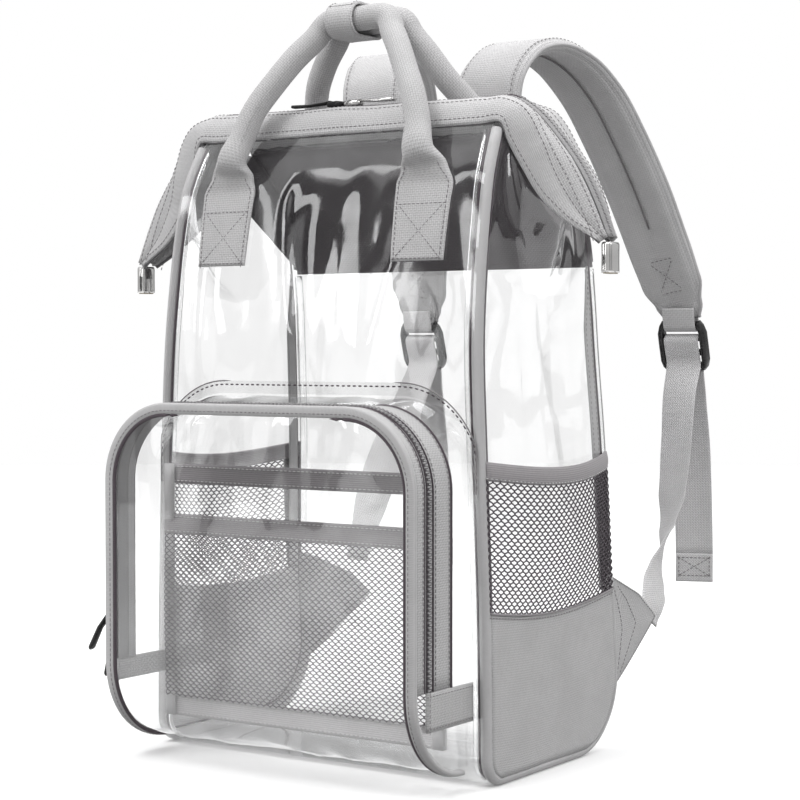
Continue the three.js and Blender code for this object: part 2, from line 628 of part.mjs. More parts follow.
// Shoulder straps with buckle, webbing, free tail and corner tab
function strapPieces() {
  const sewn = gap * 3.5 + tubeWidth * legRows[0].thick;
  const rows = strapRows.map((r) => ({ ...r, z: bodyHeight + r.rise }));
  const seat = (r) => back(r.z) + sewn + ((strapThick * r.thick) / 2) * lean(back, r.z);
  const places = rows.map((r) => V(strapOut + r.x, r.y ?? seat(r), r.z));
  const right = along(places, V(1, 0, 0), strapWidth, strapThick, softSection).map((s, i) => ({
    ...s,
    wide: strapWidth * rows[i].wide,
    thick: strapThick * rows[i].thick,
  }));
  const ribbon = (line, thick) => line.map((row, i) => {
    const before = line[Math.max(i - 1, 0)];
    const after = line[Math.min(i + 1, line.length - 1)];
    const tangent = V(after.x - before.x, after.y - before.y, after.z - before.z).normalize();
    const turned = THREE.MathUtils.degToRad(row.turn);
    const across = V(Math.cos(turned), Math.sin(turned), 0);
    across.addScaledVector(tangent, -tangent.dot(across)).normalize();
    const out = V(0, 0, 0).crossVectors(across, tangent);
    const place = V(strapOut + row.x, row.y, row.z);
    return { place, across, out, wide: webWidth, thick, section: flatSection };
  });
  const last = rows[rows.length - 1];
  const hub = V(last.x, last.y + 2, last.z - buckleHeight / 2 - 2);
  const onBuckle = (out, up) => {
    const place = V(0, out, up).applyAxisAngle(V(1, 0, 0), buckleTilt).add(hub);
    return { x: place.x, y: place.y, z: place.z, turn: 0 };
  };
  const face = onBuckle(-(buckleThick + webThick) / 2 - gap * 1.5, 4 - buckleHeight / 2);
  const under = onBuckle(0, -buckleHeight / 2 - gap * 2);
  const tail = tailRows.map((r) => ({ ...r, z: hub.z - r.down }));
  const end = tail[tail.length - 1];
  const tailStations = ribbon([under, ...tail], webThick);
  const foldFoot = ribbon([end, { ...end, z: end.z - tailFold }], webThick * 3);
  const drop = [0.2, tailFold];
  const fold = foldFoot.map((s, i) => ({ ...s, place: s.place.setZ(end.z - drop[i]) }));
  const buckleOutline = new THREE.Shape();
  const [bw, bh] = [buckleWidth / 2, buckleHeight / 2];
  buckleOutline.moveTo(-bw + 4, -bh);
  buckleOutline.lineTo(bw - 4, -bh);
  buckleOutline.lineTo(bw, -bh + 6);
  buckleOutline.lineTo(bw, bh - 8);
  buckleOutline.lineTo(bw - 5, bh);
  buckleOutline.lineTo(-bw + 5, bh);
  buckleOutline.lineTo(-bw, bh - 8);
  buckleOutline.lineTo(-bw, -bh + 6);
  for (const slot of [-0.62, 0, 0.62]) {
    const hole = new THREE.Path();
    hole.moveTo(-bw + 3.5, slot * bh - 2.6);
    hole.lineTo(bw - 3.5, slot * bh - 2.6);
    hole.lineTo(bw - 3.5, slot * bh + 2.6);
    hole.lineTo(-bw + 3.5, slot * bh + 2.6);
    buckleOutline.holes.push(hole);
  }
  for (const [name, side] of [["left", -1], ["right", 1]]) {
    const flip = (stations) => stations.map((s) => ({
      ...s,
      place: V(side * s.place.x, s.place.y, s.place.z),
      across: V(side * s.across.x, s.across.y, s.across.z),
      out: V(side * s.out.x, s.out.y, s.out.z),
    }));
    addFabric(`shoulder_strap_${name}`, sweep(flip(right)));
    const options = { depth: buckleThick, bevelEnabled: false };
    const buckle = new THREE.ExtrudeGeometry(buckleOutline, options);
    buckle.rotateX(Math.PI / 2);
    buckle.translate(0, buckleThick / 2, 0);
    buckle.rotateX(buckleTilt);
    buckle.translate(side * (strapOut + hub.x), hub.y, hub.z);
    addBlack(`strap_buckle_${name}`, buckle);
    addFabric(`strap_webbing_${name}`, sweep(flip(ribbon([face, ...webRows[name]], webThick))));
    addFabric(`webbing_tail_${name}`, sweep(flip([...tailStations, ...fold])));
    const tab = tabRows.map((row) => {
      const z = mix(tabFoot, tabTop, row.up);
      const start = V(half(z) - pipingRadius, backEdge(z, 0) + gap * 3, z);
      const end = V(start.x - row.reach * 0.06, start.y + row.reach, tabFoot + row.z);
      return range(2).map((u) => start.clone().lerp(end, u)).map((p) => V(side * p.x, p.y, p.z));
    });
    addFabric(`strap_tab_${name}`, sheet(tab, tabThick, middle));
  }
}

// Front pocket
const pocketFace = front(bodyHeight * 0.3) - pocketDepth;
const pocketBack = (z) => front(z) - gap;

// The arch of the pocket seen from the front, set in by some distance, from one foot to the other.
function arch(inset, foot, bends) {
  const radius = pocketCorner - inset;
  const centre = { x: pocketHalf - pocketCorner, z: pocketTop - pocketCorner };
  const rightHalf = [];
  for (const v of range(2)) {
    rightHalf.push({ x: pocketHalf - inset, z: mix(foot, centre.z, v), nx: 1, nz: 0 });
  }
  for (const v of range(bends).slice(1)) {
    const [nx, nz] = [Math.cos((Math.PI / 2) * v), Math.sin((Math.PI / 2) * v)];
    rightHalf.push({ x: centre.x + radius * nx, z: centre.z + radius * nz, nx, nz });
  }
  const leftHalf = rightHalf.map((p) => ({ ...p, x: -p.x, nx: -p.nx })).reverse();
  return [...rightHalf, ...leftHalf].reverse();
}

// A strip of the pocket's side from one depth to another behind the face.
function strip(inset, foot, near, far, thick) {
  return sweep(arch(inset + thick / 2, foot, 6).map(({ x, z, nx, nz }) => {
    const [start, end] = [pocketFace + near, far === null ? pocketBack(z) : pocketFace + far];
    return {
      place: V(x, (start + end) / 2, z),
      across: V(0, 1, 0),
      out: V(nx, 0, nz),
      wide: end - start,
      thick,
      section: flatSection,
    };
  }));
}

// Depth of the pocket's front edge behind its face plane, which curves back near the foot.
function curveBack(z, inset) {
  const rise = Math.max(pocketFoot + pocketCurve - z, 0);
  return pocketCurve - Math.sqrt(Math.max((pocketCurve - inset) ** 2 - rise ** 2, 0));
}

function pocketShell() {
  const faceInset = bindingWidth + gap;
  const bow = (u, z) => 4 * Math.sin(Math.PI * u) * Math.sin((Math.PI * z) / pocketTop);
  const centreZ = pocketTop - pocketCorner;
  const halfAt = (z) => {
    const radius = pocketCorner - faceInset;
    const rise = Math.max(z - centreZ, 0);
    return pocketHalf - pocketCorner + Math.sqrt(Math.max(radius ** 2 - rise ** 2, 0));
  };
  const rows = [];
  const facePoint = (u, y, z) => V(mix(-1, 1, u) * halfAt(z), y, z);
  for (const v of range(6)) {
    const turned = (Math.PI / 2) * v;
    const y = pocketFace + pocketCurve - pocketCurve * Math.sin(turned);
    const z = pocketFoot + pocketCurve - pocketCurve * Math.cos(turned);
    rows.push(range(6).map((u) => facePoint(u, y - bow(u, z) * v, z)));
  }
  for (const z of [96, 135, 165, 190, 204, 214, 220].map((share) => (share * pocketTop) / 229)) {
    if (z > pocketFoot + pocketCurve) rows.push(range(6).map((u) => facePoint(u, pocketFace - bow(u, z), z)));
  }
  addVinyl("pocket_face", sheet(rows, vinyl, middle));
  const rightHalf = [];
  for (const v of range(5)) {
    const turned = (Math.PI / 2) * v;
    const y = pocketFace + pocketCurve - pocketCurve * Math.sin(turned);
    const z = pocketFoot + pocketCurve - pocketCurve * Math.cos(turned);
    rightHalf.push(V(pocketHalf - bindingWidth / 2, y, z));
  }
  const ring = arch(bindingWidth / 2, pocketFoot + pocketCurve + 1, 7).map((p) => V(p.x, pocketFace, p.z));
  const leftHalf = rightHalf.map((p) => V(-p.x, p.y, p.z));
  const line = [...leftHalf, ...ring, ...rightHalf.reverse()];
  const stations = line.map((place, i) => {
    const before = line[Math.max(i - 1, 0)];
    const after = line[Math.min(i + 1, line.length - 1)];
    const tangent = V(0, 0, 0).subVectors(after, before).normalize();
    const outward = V(Math.sign(place.x), 0, 0);
    const across = place.z > centreZ ? V(-tangent.z, 0, tangent.x) : outward;
    const out = V(0, 0, 0).crossVectors(across, tangent).normalize();
    if (out.y > 0) out.negate();
    return { place, across, out, wide: bindingWidth, thick: bindingThick, section: softSection };
  });
  addFabric("pocket_binding", sweep(stations));
}

function pocketSides() {
  const start = bindingThick / 2 + gap;
  addFabric("pocket_zip_front_tape", strip(0.6, zipFoot, start, start + frontTape, 1.6));
  const teeth = start + frontTape + gap;
  addDark("pocket_zip_teeth", strip(0, zipFoot, teeth, teeth + pocketTeeth, 2.2));
  const rear = teeth + pocketTeeth + gap;
  addFabric("pocket_zip_rear_tape", strip(0.6, zipFoot, rear, rear + rearTape, 1.6));
  addVinyl("pocket_gusset", strip(0.8, zipFoot, rear + rearTape + gap, null, vinyl));
  const corners = arch(-gap, zipFoot, 8).filter((p) => p.z > pocketTop - pocketCorner * 0.72);
  const limit = half(pocketTop) - vinylInset;
  const flange = corners.map(({ x, z, nx, nz }) => {
    const reach = Math.min(flangeWidth, nx ? (limit - Math.abs(x)) / Math.abs(nx) : flangeWidth);
    return {
      place: V(x + (nx * reach) / 2, front(z) - gap - vinyl / 2, z + (nz * reach) / 2),
      across: V(nx, 0, nz),
      out: V(0, 1, 0),
      wide: Math.max(reach, 1),
      thick: vinyl,
      section: flatSection,
    };
  });
  addVinyl("pocket_flange", sweep(flange));
  for (const [name, side] of [["left", -1], ["right", 1]]) {
    const inset = 0.8;
    const wall = grid(5, 2, (u, v) => {
      const clearance = bindingThick / 2 + gap * 2;
      const z = mix(pocketFoot + clearance + 1, zipFoot - gap, v);
      const near = pocketFace + curveBack(z, clearance);
      return V(side * (pocketHalf - inset), mix(Math.min(near, pocketBack(z) - 1), pocketBack(z), u), z);
    });
    addVinyl(`pocket_side_${name}`, sheet(wall, vinyl, V(0, pocketFace, 0)));
    const tabNear = pocketFace + curveBack(zipFoot - stopTabHeight, bindingThick + 1);
    const tab = grid(1, 3, (u, v) => V(
      side * (pocketHalf - inset + gap),
      mix(tabNear, pocketBack(zipFoot), u),
      mix(zipFoot - stopTabHeight, zipFoot - 1, v),
    ));
    addFabric(`pocket_stop_tab_${name}`, sheet(tab, fabric, V(0, pocketFace, 0), true));
  }
  const pulls = [["upper", 104, 21], ["lower", 88, 7]];
  for (const [name, z, splay] of pulls) {
    const x = -pocketHalf - 2.4;
    const y = pocketFace + teeth + pocketTeeth / 2;
    const rows = [
      { x: 0, y: 0, z: 5, wide: 7.5, thick: 4 },
      { x: 0, y: 0, z: -4, wide: 7.5, thick: 4 },
      { x: -1.5, y: 0, z: -5.5, wide: 4, thick: 2.4 },
      { x: -splay * 0.65, y: -2, z: -pullLength * 0.6, wide: 5, thick: 2.4 },
      { x: -splay, y: -3, z: -pullLength, wide: 3.4, thick: 2 },
    ];
    const stations = rows.map((r) => ({
      place: V(x + r.x, y + r.y, z + r.z),
      across: V(0, 1, 0),
      out: V(1, 0, 0),
      wide: r.wide,
      thick: r.thick,
      section: softSection,
    }));
    addBlack(`pocket_zip_pull_${name}`, sweep(stations));
  }
}

// Organiser: a clear pocket and a net pocket, each under its own band, on the front panel
function organiser() {
  const layer = (foot, top, off, thick) => {
    const rows = grid(2, 1, (u, v) => {
      const z = mix(foot, top, v);
      return V(mix(-1, 1, u) * organiserHalf, front(z) - off, z);
    });
    return sheet(rows, thick, V(0, -baseDepth * 2, bodyHeight / 4));
  };
  addVinyl("organiser_pocket", layer(hemTop + gap, topBandFoot - gap, gap, vinyl));
  addDark("organiser_top_band", layer(topBandFoot, topBandTop, gap, fabric));
  const off = gap + vinyl + gap;
  addDark("organiser_net", layer(hemTop + gap, netBandFoot - gap, off, vinyl));
  addDark("organiser_net_band", layer(netBandFoot, netBandTop, off, fabric));
  addDark("organiser_hem", layer(organiserFoot, hemTop, gap, fabric + vinyl));
}

bodyPanels();
mouthBands();
mouthMetal();
sidePieces();
handles();
handleWrap();
strapPieces();
pocketShell();
pocketSides();
organiser();

export default root;
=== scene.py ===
import math

import bpy
import numpy as np
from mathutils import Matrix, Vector, noise


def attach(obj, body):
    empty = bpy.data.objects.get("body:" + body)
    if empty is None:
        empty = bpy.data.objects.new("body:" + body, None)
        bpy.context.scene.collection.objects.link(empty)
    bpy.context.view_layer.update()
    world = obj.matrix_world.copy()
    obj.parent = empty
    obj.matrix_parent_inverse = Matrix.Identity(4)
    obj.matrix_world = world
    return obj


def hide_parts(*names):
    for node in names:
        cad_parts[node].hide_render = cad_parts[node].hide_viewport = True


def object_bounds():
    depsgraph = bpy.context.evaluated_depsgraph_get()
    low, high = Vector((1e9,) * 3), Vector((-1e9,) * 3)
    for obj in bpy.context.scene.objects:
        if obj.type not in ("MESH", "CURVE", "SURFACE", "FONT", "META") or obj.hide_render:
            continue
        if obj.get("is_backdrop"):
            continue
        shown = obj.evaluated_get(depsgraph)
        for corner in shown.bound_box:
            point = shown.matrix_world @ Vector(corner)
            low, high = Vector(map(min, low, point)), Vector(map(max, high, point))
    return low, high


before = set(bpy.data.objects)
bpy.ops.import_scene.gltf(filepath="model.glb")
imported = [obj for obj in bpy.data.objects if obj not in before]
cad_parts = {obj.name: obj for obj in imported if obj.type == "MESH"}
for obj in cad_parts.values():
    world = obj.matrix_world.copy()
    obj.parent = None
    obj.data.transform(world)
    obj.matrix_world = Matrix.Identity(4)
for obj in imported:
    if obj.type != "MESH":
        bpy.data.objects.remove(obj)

cad_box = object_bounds()

# Lengths are in millimetres here and become metres when a mesh is made.
MM = 0.001
BASE_WIDTH = 260
BASE_DEPTH = 164
BODY_HEIGHT = 400
FRONT_RADIUS = 18
BACK_RADIUS = 50
PIPING = 3.6
VINYL_INSET = 6.0
PANEL_INSET = VINYL_INSET - 2.4
YOKE_FOOT = 319
YOKE_HEM = YOKE_FOOT - 3.2
BACK_BULGE = 12
PANEL_TOP = BODY_HEIGHT - 1.8
# The strap tabs are sewn to the body between these heights, and the clear back seam starts above them.
TAB_FOOT, TAB_TOP = 40, 112
QUARTER = math.pi / 2
SIDES = (("left", -1), ("right", 1))
RIGHTWARD, BACKWARD, FORWARD = Vector((1, 0, 0)), Vector((0, 1, 0)), Vector((0, -1, 0))
MIDDLE = Vector((0, 0, BODY_HEIGHT / 2))
# Half width, front and back as shares of half the base, up the height.
BODY = {
    "up": (0, 0.125, 0.25, 0.5, 0.65, 0.75, 0.85, 0.925, 1),
    "side": (1, 0.997, 0.992, 0.966, 0.948, 0.941, 0.937, 0.928, 0.911),
    "front": (1, 1.003, 1.006, 1.012, 1.006, 0.963, 0.89, 0.8, 0.622),
    "back": (1, 1.02, 0.97, 0.91, 0.85, 0.805, 0.71, 0.46, 0.04),
}


# The camera stands where the photograph's did.
def make_camera():
    data = bpy.data.cameras.new("camera")
    camera = bpy.data.objects.new("camera", data)
    bpy.context.scene.collection.objects.link(camera)
    camera.location = (0.7473, -1.0890, 0.2642)
    towards = Vector((0.0121, -0.0020, 0.2288)) - camera.location
    camera.rotation_euler = towards.to_track_quat("-Z", "Y").to_euler()
    data.lens = 89.9
    data.sensor_width = 36
    bpy.context.scene.camera = camera


make_camera()


# Small mathematics
def mix(a, b, t):
    return a + (b - a) * t


def shares(count):
    return [i / count for i in range(count + 1)]


def at(rows, key, column, place):
    """A column of a table at one place, on a smooth line through its rows."""
    keys, values = rows[key], rows[column]
    last = len(keys) - 1
    i = 0
    while i < last - 1 and place > keys[i + 1]:
        i += 1

    def slope(k):
        a, b = max(k - 1, 0), min(k + 1, last)
        return (values[b] - values[a]) / (keys[b] - keys[a])

    span = keys[i + 1] - keys[i]
    t = min(max((place - keys[i]) / span, 0), 1)
    rise = values[i + 1] - values[i]
    lead = slope(i) * span - rise
    trail = rise - slope(i + 1) * span
    return values[i] + rise * t + t * (1 - t) * (lead * (1 - t) + trail * t)


def half(z):
    return BASE_WIDTH / 2 * at(BODY, "up", "side", z / BODY_HEIGHT)


def front(z):
    return -BASE_DEPTH / 2 * at(BODY, "up", "front", z / BODY_HEIGHT)


def back(z):
    return BASE_DEPTH / 2 * at(BODY, "up", "back", z / BODY_HEIGHT)


def corner(line, radius, inset, z):
    if z >= radius:
        return inset * math.hypot(1, (line(z) - line(z - 4)) / 4)
    return radius - math.sqrt(max((radius - inset) ** 2 - (radius - z) ** 2, 0))


def front_edge(z, inset):
    return front(z) + corner(front, FRONT_RADIUS, inset, z)


def back_edge(z, inset):
    return back(z) - corner(back, BACK_RADIUS, inset, z)


def smooth(points, count):
    """Points on a centripetal curve through some points."""
    p = [Vector(q) for q in points]
    last = len(p) - 1
    out = []
    for share in shares(count):
        place = last * share
        i = min(int(place), last - 1)
        w = place - i
        a = p[i - 1] if i > 0 else 2 * p[0] - p[1]
        d = p[i + 2] if i + 2 <= last else 2 * p[last] - p[last - 1]
        b, c = p[i], p[i + 1]
        d0, d1, d2 = ((y - x).length ** 0.5 for x, y in ((a, b), (b, c), (c, d)))
        d1 = d1 or 1
        d0, d2 = d0 or d1, d2 or d1
        t1 = ((b - a) / d0 - (c - a) / (d0 + d1) + (c - b) / d1) * d1
        t2 = ((c - b) / d1 - (d - b) / (d1 + d2) + (d - c) / d2) * d1
        out.append(b + t1 * w + (3 * (c - b) - 2 * t1 - t2) * w ** 2 + (2 * (b - c) + t1 + t2) * w ** 3)
    return out


def ridged(p, scale, seed=0):
    """Ridged noise from 0 to 1 with sharp crests, for creases."""
    q = Vector(p) * scale + Vector((seed * 7.3, seed * 3.1, seed * 5.7))
    return (1 - abs(noise.noise(q))) ** 2


def soft(p, scale, seed=0):
    return noise.noise(Vector(p) * scale + Vector((seed * 5.1, seed * 9.7, seed * 2.3)))


def flip(p, side):
    """A point or direction of the right side, turned over for the left where side is -1."""
    return Vector((side * p.x, p.y, p.z))


def numbers(rows):
    return np.array([[tuple(q) for q in row] for row in rows])


# Node trees
def add_node(tree, kind, inputs=(), **settings):
    node = tree.nodes.new(kind)
    for key, value in settings.items():
        setattr(node, key, value)
    for key, value in dict(inputs).items():
        if isinstance(value, bpy.types.NodeSocket):
            tree.links.new(value, node.inputs[key])
        else:
            node.inputs[key].default_value = value
    return node.outputs


class Look:
    """A material under construction: its Principled shader and short ways to add nodes."""

    def __init__(self, name, color, roughness, **values):
        self.material = bpy.data.materials.new(name)
        self.material.use_nodes = True
        self.tree = self.material.node_tree
        self.shader = self.tree.nodes["Principled BSDF"]
        self.set("Base Color", (*color, 1))
        self.set("Roughness", roughness)
        for key, value in values.items():
            self.set(key.replace("_", " "), value)

    def set(self, socket, value):
        target = self.shader.inputs[socket]
        if isinstance(value, bpy.types.NodeSocket):
            self.tree.links.new(value, target)
        else:
            target.default_value = value

    def add(self, kind, out=0, inputs=(), **settings):
        return add_node(self.tree, kind, inputs, **settings)[out]

    def math(self, operation, a, b=0.0, clamp=False):
        return self.add("ShaderNodeMath", 0, {0: a, 1: b}, operation=operation, use_clamp=clamp)

    def blend(self, factor, a, b):
        a, b = [(*c, 1) if isinstance(c, tuple) and len(c) == 3 else c for c in (a, b)]
        return self.add("ShaderNodeMix", 2, {0: factor, 6: a, 7: b}, data_type="RGBA")

    def range(self, value, low, high, to_low=0.0, to_high=1.0):
        inputs = {0: value, 1: low, 2: high, 3: to_low, 4: to_high}
        return self.add("ShaderNodeMapRange", 0, inputs, interpolation_type="SMOOTHSTEP")

    def place(self):
        return self.add("ShaderNodeTexCoord", "Object")

    def cloth(self):
        """Sideways and lengthways place on the cloth in millimetres."""
        uv = self.add("ShaderNodeUVMap", 0, uv_map="cloth")
        split = add_node(self.tree, "ShaderNodeSeparateXYZ", {0: uv})
        return split[0], split[1]

    def noise(self, scale, detail=2.0, roughness=0.5, where=None):
        inputs = {"Vector": where or self.place(), "Scale": scale, "Detail": detail, "Roughness": roughness}
        return self.add("ShaderNodeTexNoise", 0, inputs)

    def bump(self, height, strength, distance):
        inputs = {"Strength": strength, "Distance": distance * MM, "Height": height}
        self.set("Normal", self.add("ShaderNodeBump", 0, inputs))


def tint(color, share):
    return tuple(c * share for c in color)


def woven(name, color, pitch=1.5, strength=0.6, contrast=0.5, diagonal=False):
    """Plain weave of thick yarn, or a diagonal rib for webbing and binding."""
    look = Look(name, color, 0.85, Sheen_Weight=0.15, Sheen_Roughness=0.5, Specular_IOR_Level=0.25)
    u, v = look.cloth()
    if diagonal:
        u, v = look.math("ADD", u, v), look.math("SUBTRACT", u, v)
    waves = [look.math("SINE", look.math("MULTIPLY", x, math.pi / pitch)) for x in (u, v)]
    over = look.math("GREATER_THAN", look.math("MULTIPLY", *waves), 0.0)
    warp, weft = [look.math("ABSOLUTE", wave) for wave in waves]
    height = look.add("ShaderNodeMix", 0, {0: over, 2: warp, 3: weft}, data_type="FLOAT")
    grain = look.noise(900.0, 3.0, 0.6)
    cloud = look.noise(38.0, 3.0, 0.55)
    tone = look.math("ADD", look.math("MULTIPLY", height, 0.55), look.math("MULTIPLY", grain, 0.45))
    shade = look.blend(tone, tint(color, 1 - contrast), tint(color, 1 + contrast * 0.55))
    worn = look.blend(look.range(cloud, 0.35, 0.7, 0.0, 0.16), shade, tint(color, 0.6))
    look.set("Base Color", worn)
    look.set("Roughness", look.range(grain, 0.2, 0.8, 0.75, 0.95))
    look.bump(height, strength, 0.35)
    return look.material


def vinyl(name, haze=0.03, shine=1.0, solid=False):
    """Clear sheet with faint milky haze. It mirrors more at flat angles, alike from both faces unless solid."""
    look = Look(name, (0.94, 0.945, 0.95), 0.04, Metallic=1.0, Specular_IOR_Level=0.5)
    upright = look.add("ShaderNodeMapping", 0, {"Vector": look.place(), "Scale": (1.0, 1.0, 0.2)})
    wave = look.noise(11.0, 0.0, 0.5, upright)
    fine = look.noise(60.0, 2.0, 0.6)
    look.bump(look.math("ADD", wave, look.math("MULTIPLY", fine, 0.02)), 0.25, 6.0)
    if solid:
        fresnel = look.add("ShaderNodeFresnel", 0, {"IOR": 1.5})
    else:
        facing = look.add("ShaderNodeLayerWeight", 1, {"Blend": 0.5})
        fresnel = look.math("ADD", look.math("MULTIPLY", look.math("POWER", facing, 5.0), 0.96), 0.042)
    mirror = look.math("MULTIPLY", fresnel, 1.7 * shine)
    cloud = look.range(look.noise(16.0, 4.0, 0.62), 0.42, 0.78, haze * 0.4, haze * 2.6)
    look.set("Alpha", look.math("ADD", mirror, cloud, clamp=True))
    look.set("Roughness", look.range(fine, 0.3, 0.8, 0.02, 0.09))
    return look.material


def elastic(name, color):
    """Knitted elastic with fine ribs along its length."""
    look = Look(name, color, 0.8, Sheen_Weight=0.2, Specular_IOR_Level=0.3)
    u, v = look.cloth()
    rib = look.math("ABSOLUTE", look.math("SINE", look.math("MULTIPLY", v, math.pi / 1.3)))
    cross = look.math("ABSOLUTE", look.math("SINE", look.math("MULTIPLY", u, math.pi / 0.9)))
    height = look.math("MULTIPLY", rib, look.math("ADD", look.math("MULTIPLY", cross, 0.4), 0.6))
    tone = look.math("ADD", look.math("MULTIPLY", height, 0.6), look.math("MULTIPLY", look.noise(500.0), 0.4))
    look.set("Base Color", look.blend(tone, tint(color, 0.7), tint(color, 1.2)))
    look.bump(height, 0.5, 0.3)
    return look.material


def moulded(name, color, roughness):
    look = Look(name, color, roughness, Specular_IOR_Level=0.3)
    grain = look.noise(700.0, 2.0, 0.5)
    look.set("Base Color", look.blend(look.noise(90.0), tint(color, 0.8), tint(color, 1.5)))
    look.set("Roughness", look.range(grain, 0.3, 0.7, roughness * 0.8, roughness * 1.25))
    look.bump(grain, 0.12, 0.15)
    return look.material


def plated(name):
    look = Look(name, (0.52, 0.515, 0.51), 0.1, Metallic=1.0)
    scuff = look.noise(260.0, 4.0, 0.7)
    look.set("Roughness", look.range(scuff, 0.4, 0.8, 0.06, 0.24))
    look.bump(scuff, 0.05, 0.1)
    return look.material


GREY = (0.5, 0.495, 0.5)
MATERIALS = {
    "grey_fabric": woven("grey_fabric", GREY),
    "band_fabric": woven("band_fabric", tint(GREY, 1.08)),
    "piping_fabric": woven("piping_fabric", GREY, 1.0, 0.4, 0.25, True),
    "yoke_fabric": woven("yoke_fabric", (0.12, 0.11, 0.117), 1.4, 0.5, 0.35),
    # A dark copy of the grey cloth, used only as painted shade under the mouth bands' hems.
    "painted_shade_fabric": woven("painted_shade_fabric", (0.20, 0.195, 0.2), 1.4),
    "strap_fabric": woven("strap_fabric", tint(GREY, 1.1), 1.3),
    "strap_lining": woven("strap_lining", (0.58, 0.575, 0.58), 1.6, 0.5, 0.3),
    "webbing": woven("webbing", tint(GREY, 1.45), 1.9, 0.9, 0.55, True),
    "elastic": elastic("elastic", (0.31, 0.295, 0.305)),
    "hem_elastic": elastic("hem_elastic", (0.52, 0.51, 0.518)),
    "net": elastic("net", (0.1, 0.085, 0.098)),
    "tape": woven("tape", (0.36, 0.355, 0.36), 0.9),
    "dark_edge": elastic("dark_edge", (0.075, 0.06, 0.07)),
    "teeth": moulded("teeth", (0.27, 0.265, 0.27), 0.35),
    "thread": elastic("thread", (0.58, 0.575, 0.58)),
    "dark_thread": elastic("dark_thread", (0.22, 0.21, 0.215)),
    "vinyl": vinyl("vinyl"),
    "face_vinyl": vinyl("face_vinyl", 0.035),
    "seam_vinyl": vinyl("seam_vinyl", 0.08, 1.6, True),
    "black_plastic": moulded("black_plastic", (0.008, 0.0075, 0.008), 0.32),
    "chrome": plated("chrome"),
    "beige": woven("beige", (0.62, 0.55, 0.44), 0.8, 0.3, 0.15),
}
SLOTS = {
    "vinyl": "clear_vinyl", "face_vinyl": "clear_vinyl", "seam_vinyl": "clear_vinyl",
    "elastic": "dark_elastic", "net": "dark_elastic", "hem_elastic": "dark_elastic",
    "dark_edge": "dark_elastic",
    "yoke_fabric": "yoke_fabric", "webbing": "grey_webbing", "teeth": "zip_teeth",
    "black_plastic": "black_plastic", "chrome": "chrome",
}


# Meshes
def finish_piece(name, vertices, faces, look, nodes=(), uvs=None, smooth_faces=True):
    mesh = bpy.data.meshes.new(name)
    mesh.from_pydata([tuple(c * MM for c in v) for v in vertices], [], faces)
    layer = mesh.uv_layers.new(name="cloth")
    if uvs is None:
        uvs = [(v[0] + v[1], v[2]) for v in vertices]
    corners = np.empty(len(mesh.loops), dtype=np.int32)
    mesh.loops.foreach_get("vertex_index", corners)
    layer.data.foreach_set("uv", np.array(uvs, dtype=np.float32)[corners].ravel())
    mesh.polygons.foreach_set("use_smooth", [smooth_faces] * len(mesh.polygons))
    mesh.materials.append(MATERIALS[look])
    piece = bpy.data.objects.new(name, mesh)
    bpy.context.scene.collection.objects.link(piece)
    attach(piece, "root")
    SLOTS.get(look, "grey_fabric")
    if nodes:
        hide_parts(*nodes)
    return piece


def grid(rows, columns, point):
    return [[point(u, v) for u in shares(columns)] for v in shares(rows)]


def normals(rows):
    p = numbers(rows)
    n = np.cross(np.gradient(p, axis=1), np.gradient(p, axis=0))
    return n / np.maximum(np.linalg.norm(n, axis=2, keepdims=True), 1e-9)


def cloth_places(rows):
    """Place of each point on the flat cloth: lengths along its row and its column, from the middle."""
    p = numbers(rows)
    out = []
    for axis in (1, 0):
        steps = np.linalg.norm(np.diff(p, axis=axis), axis=2)
        along = np.cumsum(steps, axis=axis)
        zero = np.zeros_like(np.take(along, [0], axis=axis))
        along = np.concatenate([zero, along], axis=axis)
        out.append(along - np.take(along, [along.shape[axis] // 2], axis=axis))
    return np.stack(out, axis=2)


def sheet(name, rows, look, nodes=(), thick=0.0, outside=None):
    """A cloth or vinyl piece through a grid of points, thick on the side away from outside."""
    height, width = len(rows), len(rows[0])
    places = cloth_places(rows).reshape(-1, 2).tolist()
    faces = [
        (i * width + j, i * width + j + 1, (i + 1) * width + j + 1, (i + 1) * width + j)
        for i in range(height - 1) for j in range(width - 1)
    ]
    vertices = [tuple(p) for row in rows for p in row]
    if outside is not None:
        mid = Vector(rows[height // 2][width // 2])
        face = Vector(normals(rows)[height // 2][width // 2])
        if face.dot(Vector(outside) - mid) < 0:
            faces = [tuple(reversed(f)) for f in faces]
    piece = finish_piece(name, vertices, faces, look, nodes, places)
    if thick:
        solid = piece.modifiers.new("thickness", "SOLIDIFY")
        solid.thickness = thick * MM
        solid.offset = -1
    return piece


def frames(points, widthway):
    """Across and out directions at each point of a line."""
    out = []
    last = len(points) - 1
    for i, place in enumerate(points):
        tangent = (points[min(i + 1, last)] - points[max(i - 1, 0)]).normalized()
        across = (widthway - tangent * tangent.dot(widthway)).normalized()
        out.append((place, across, across.cross(tangent).normalized()))
    return out


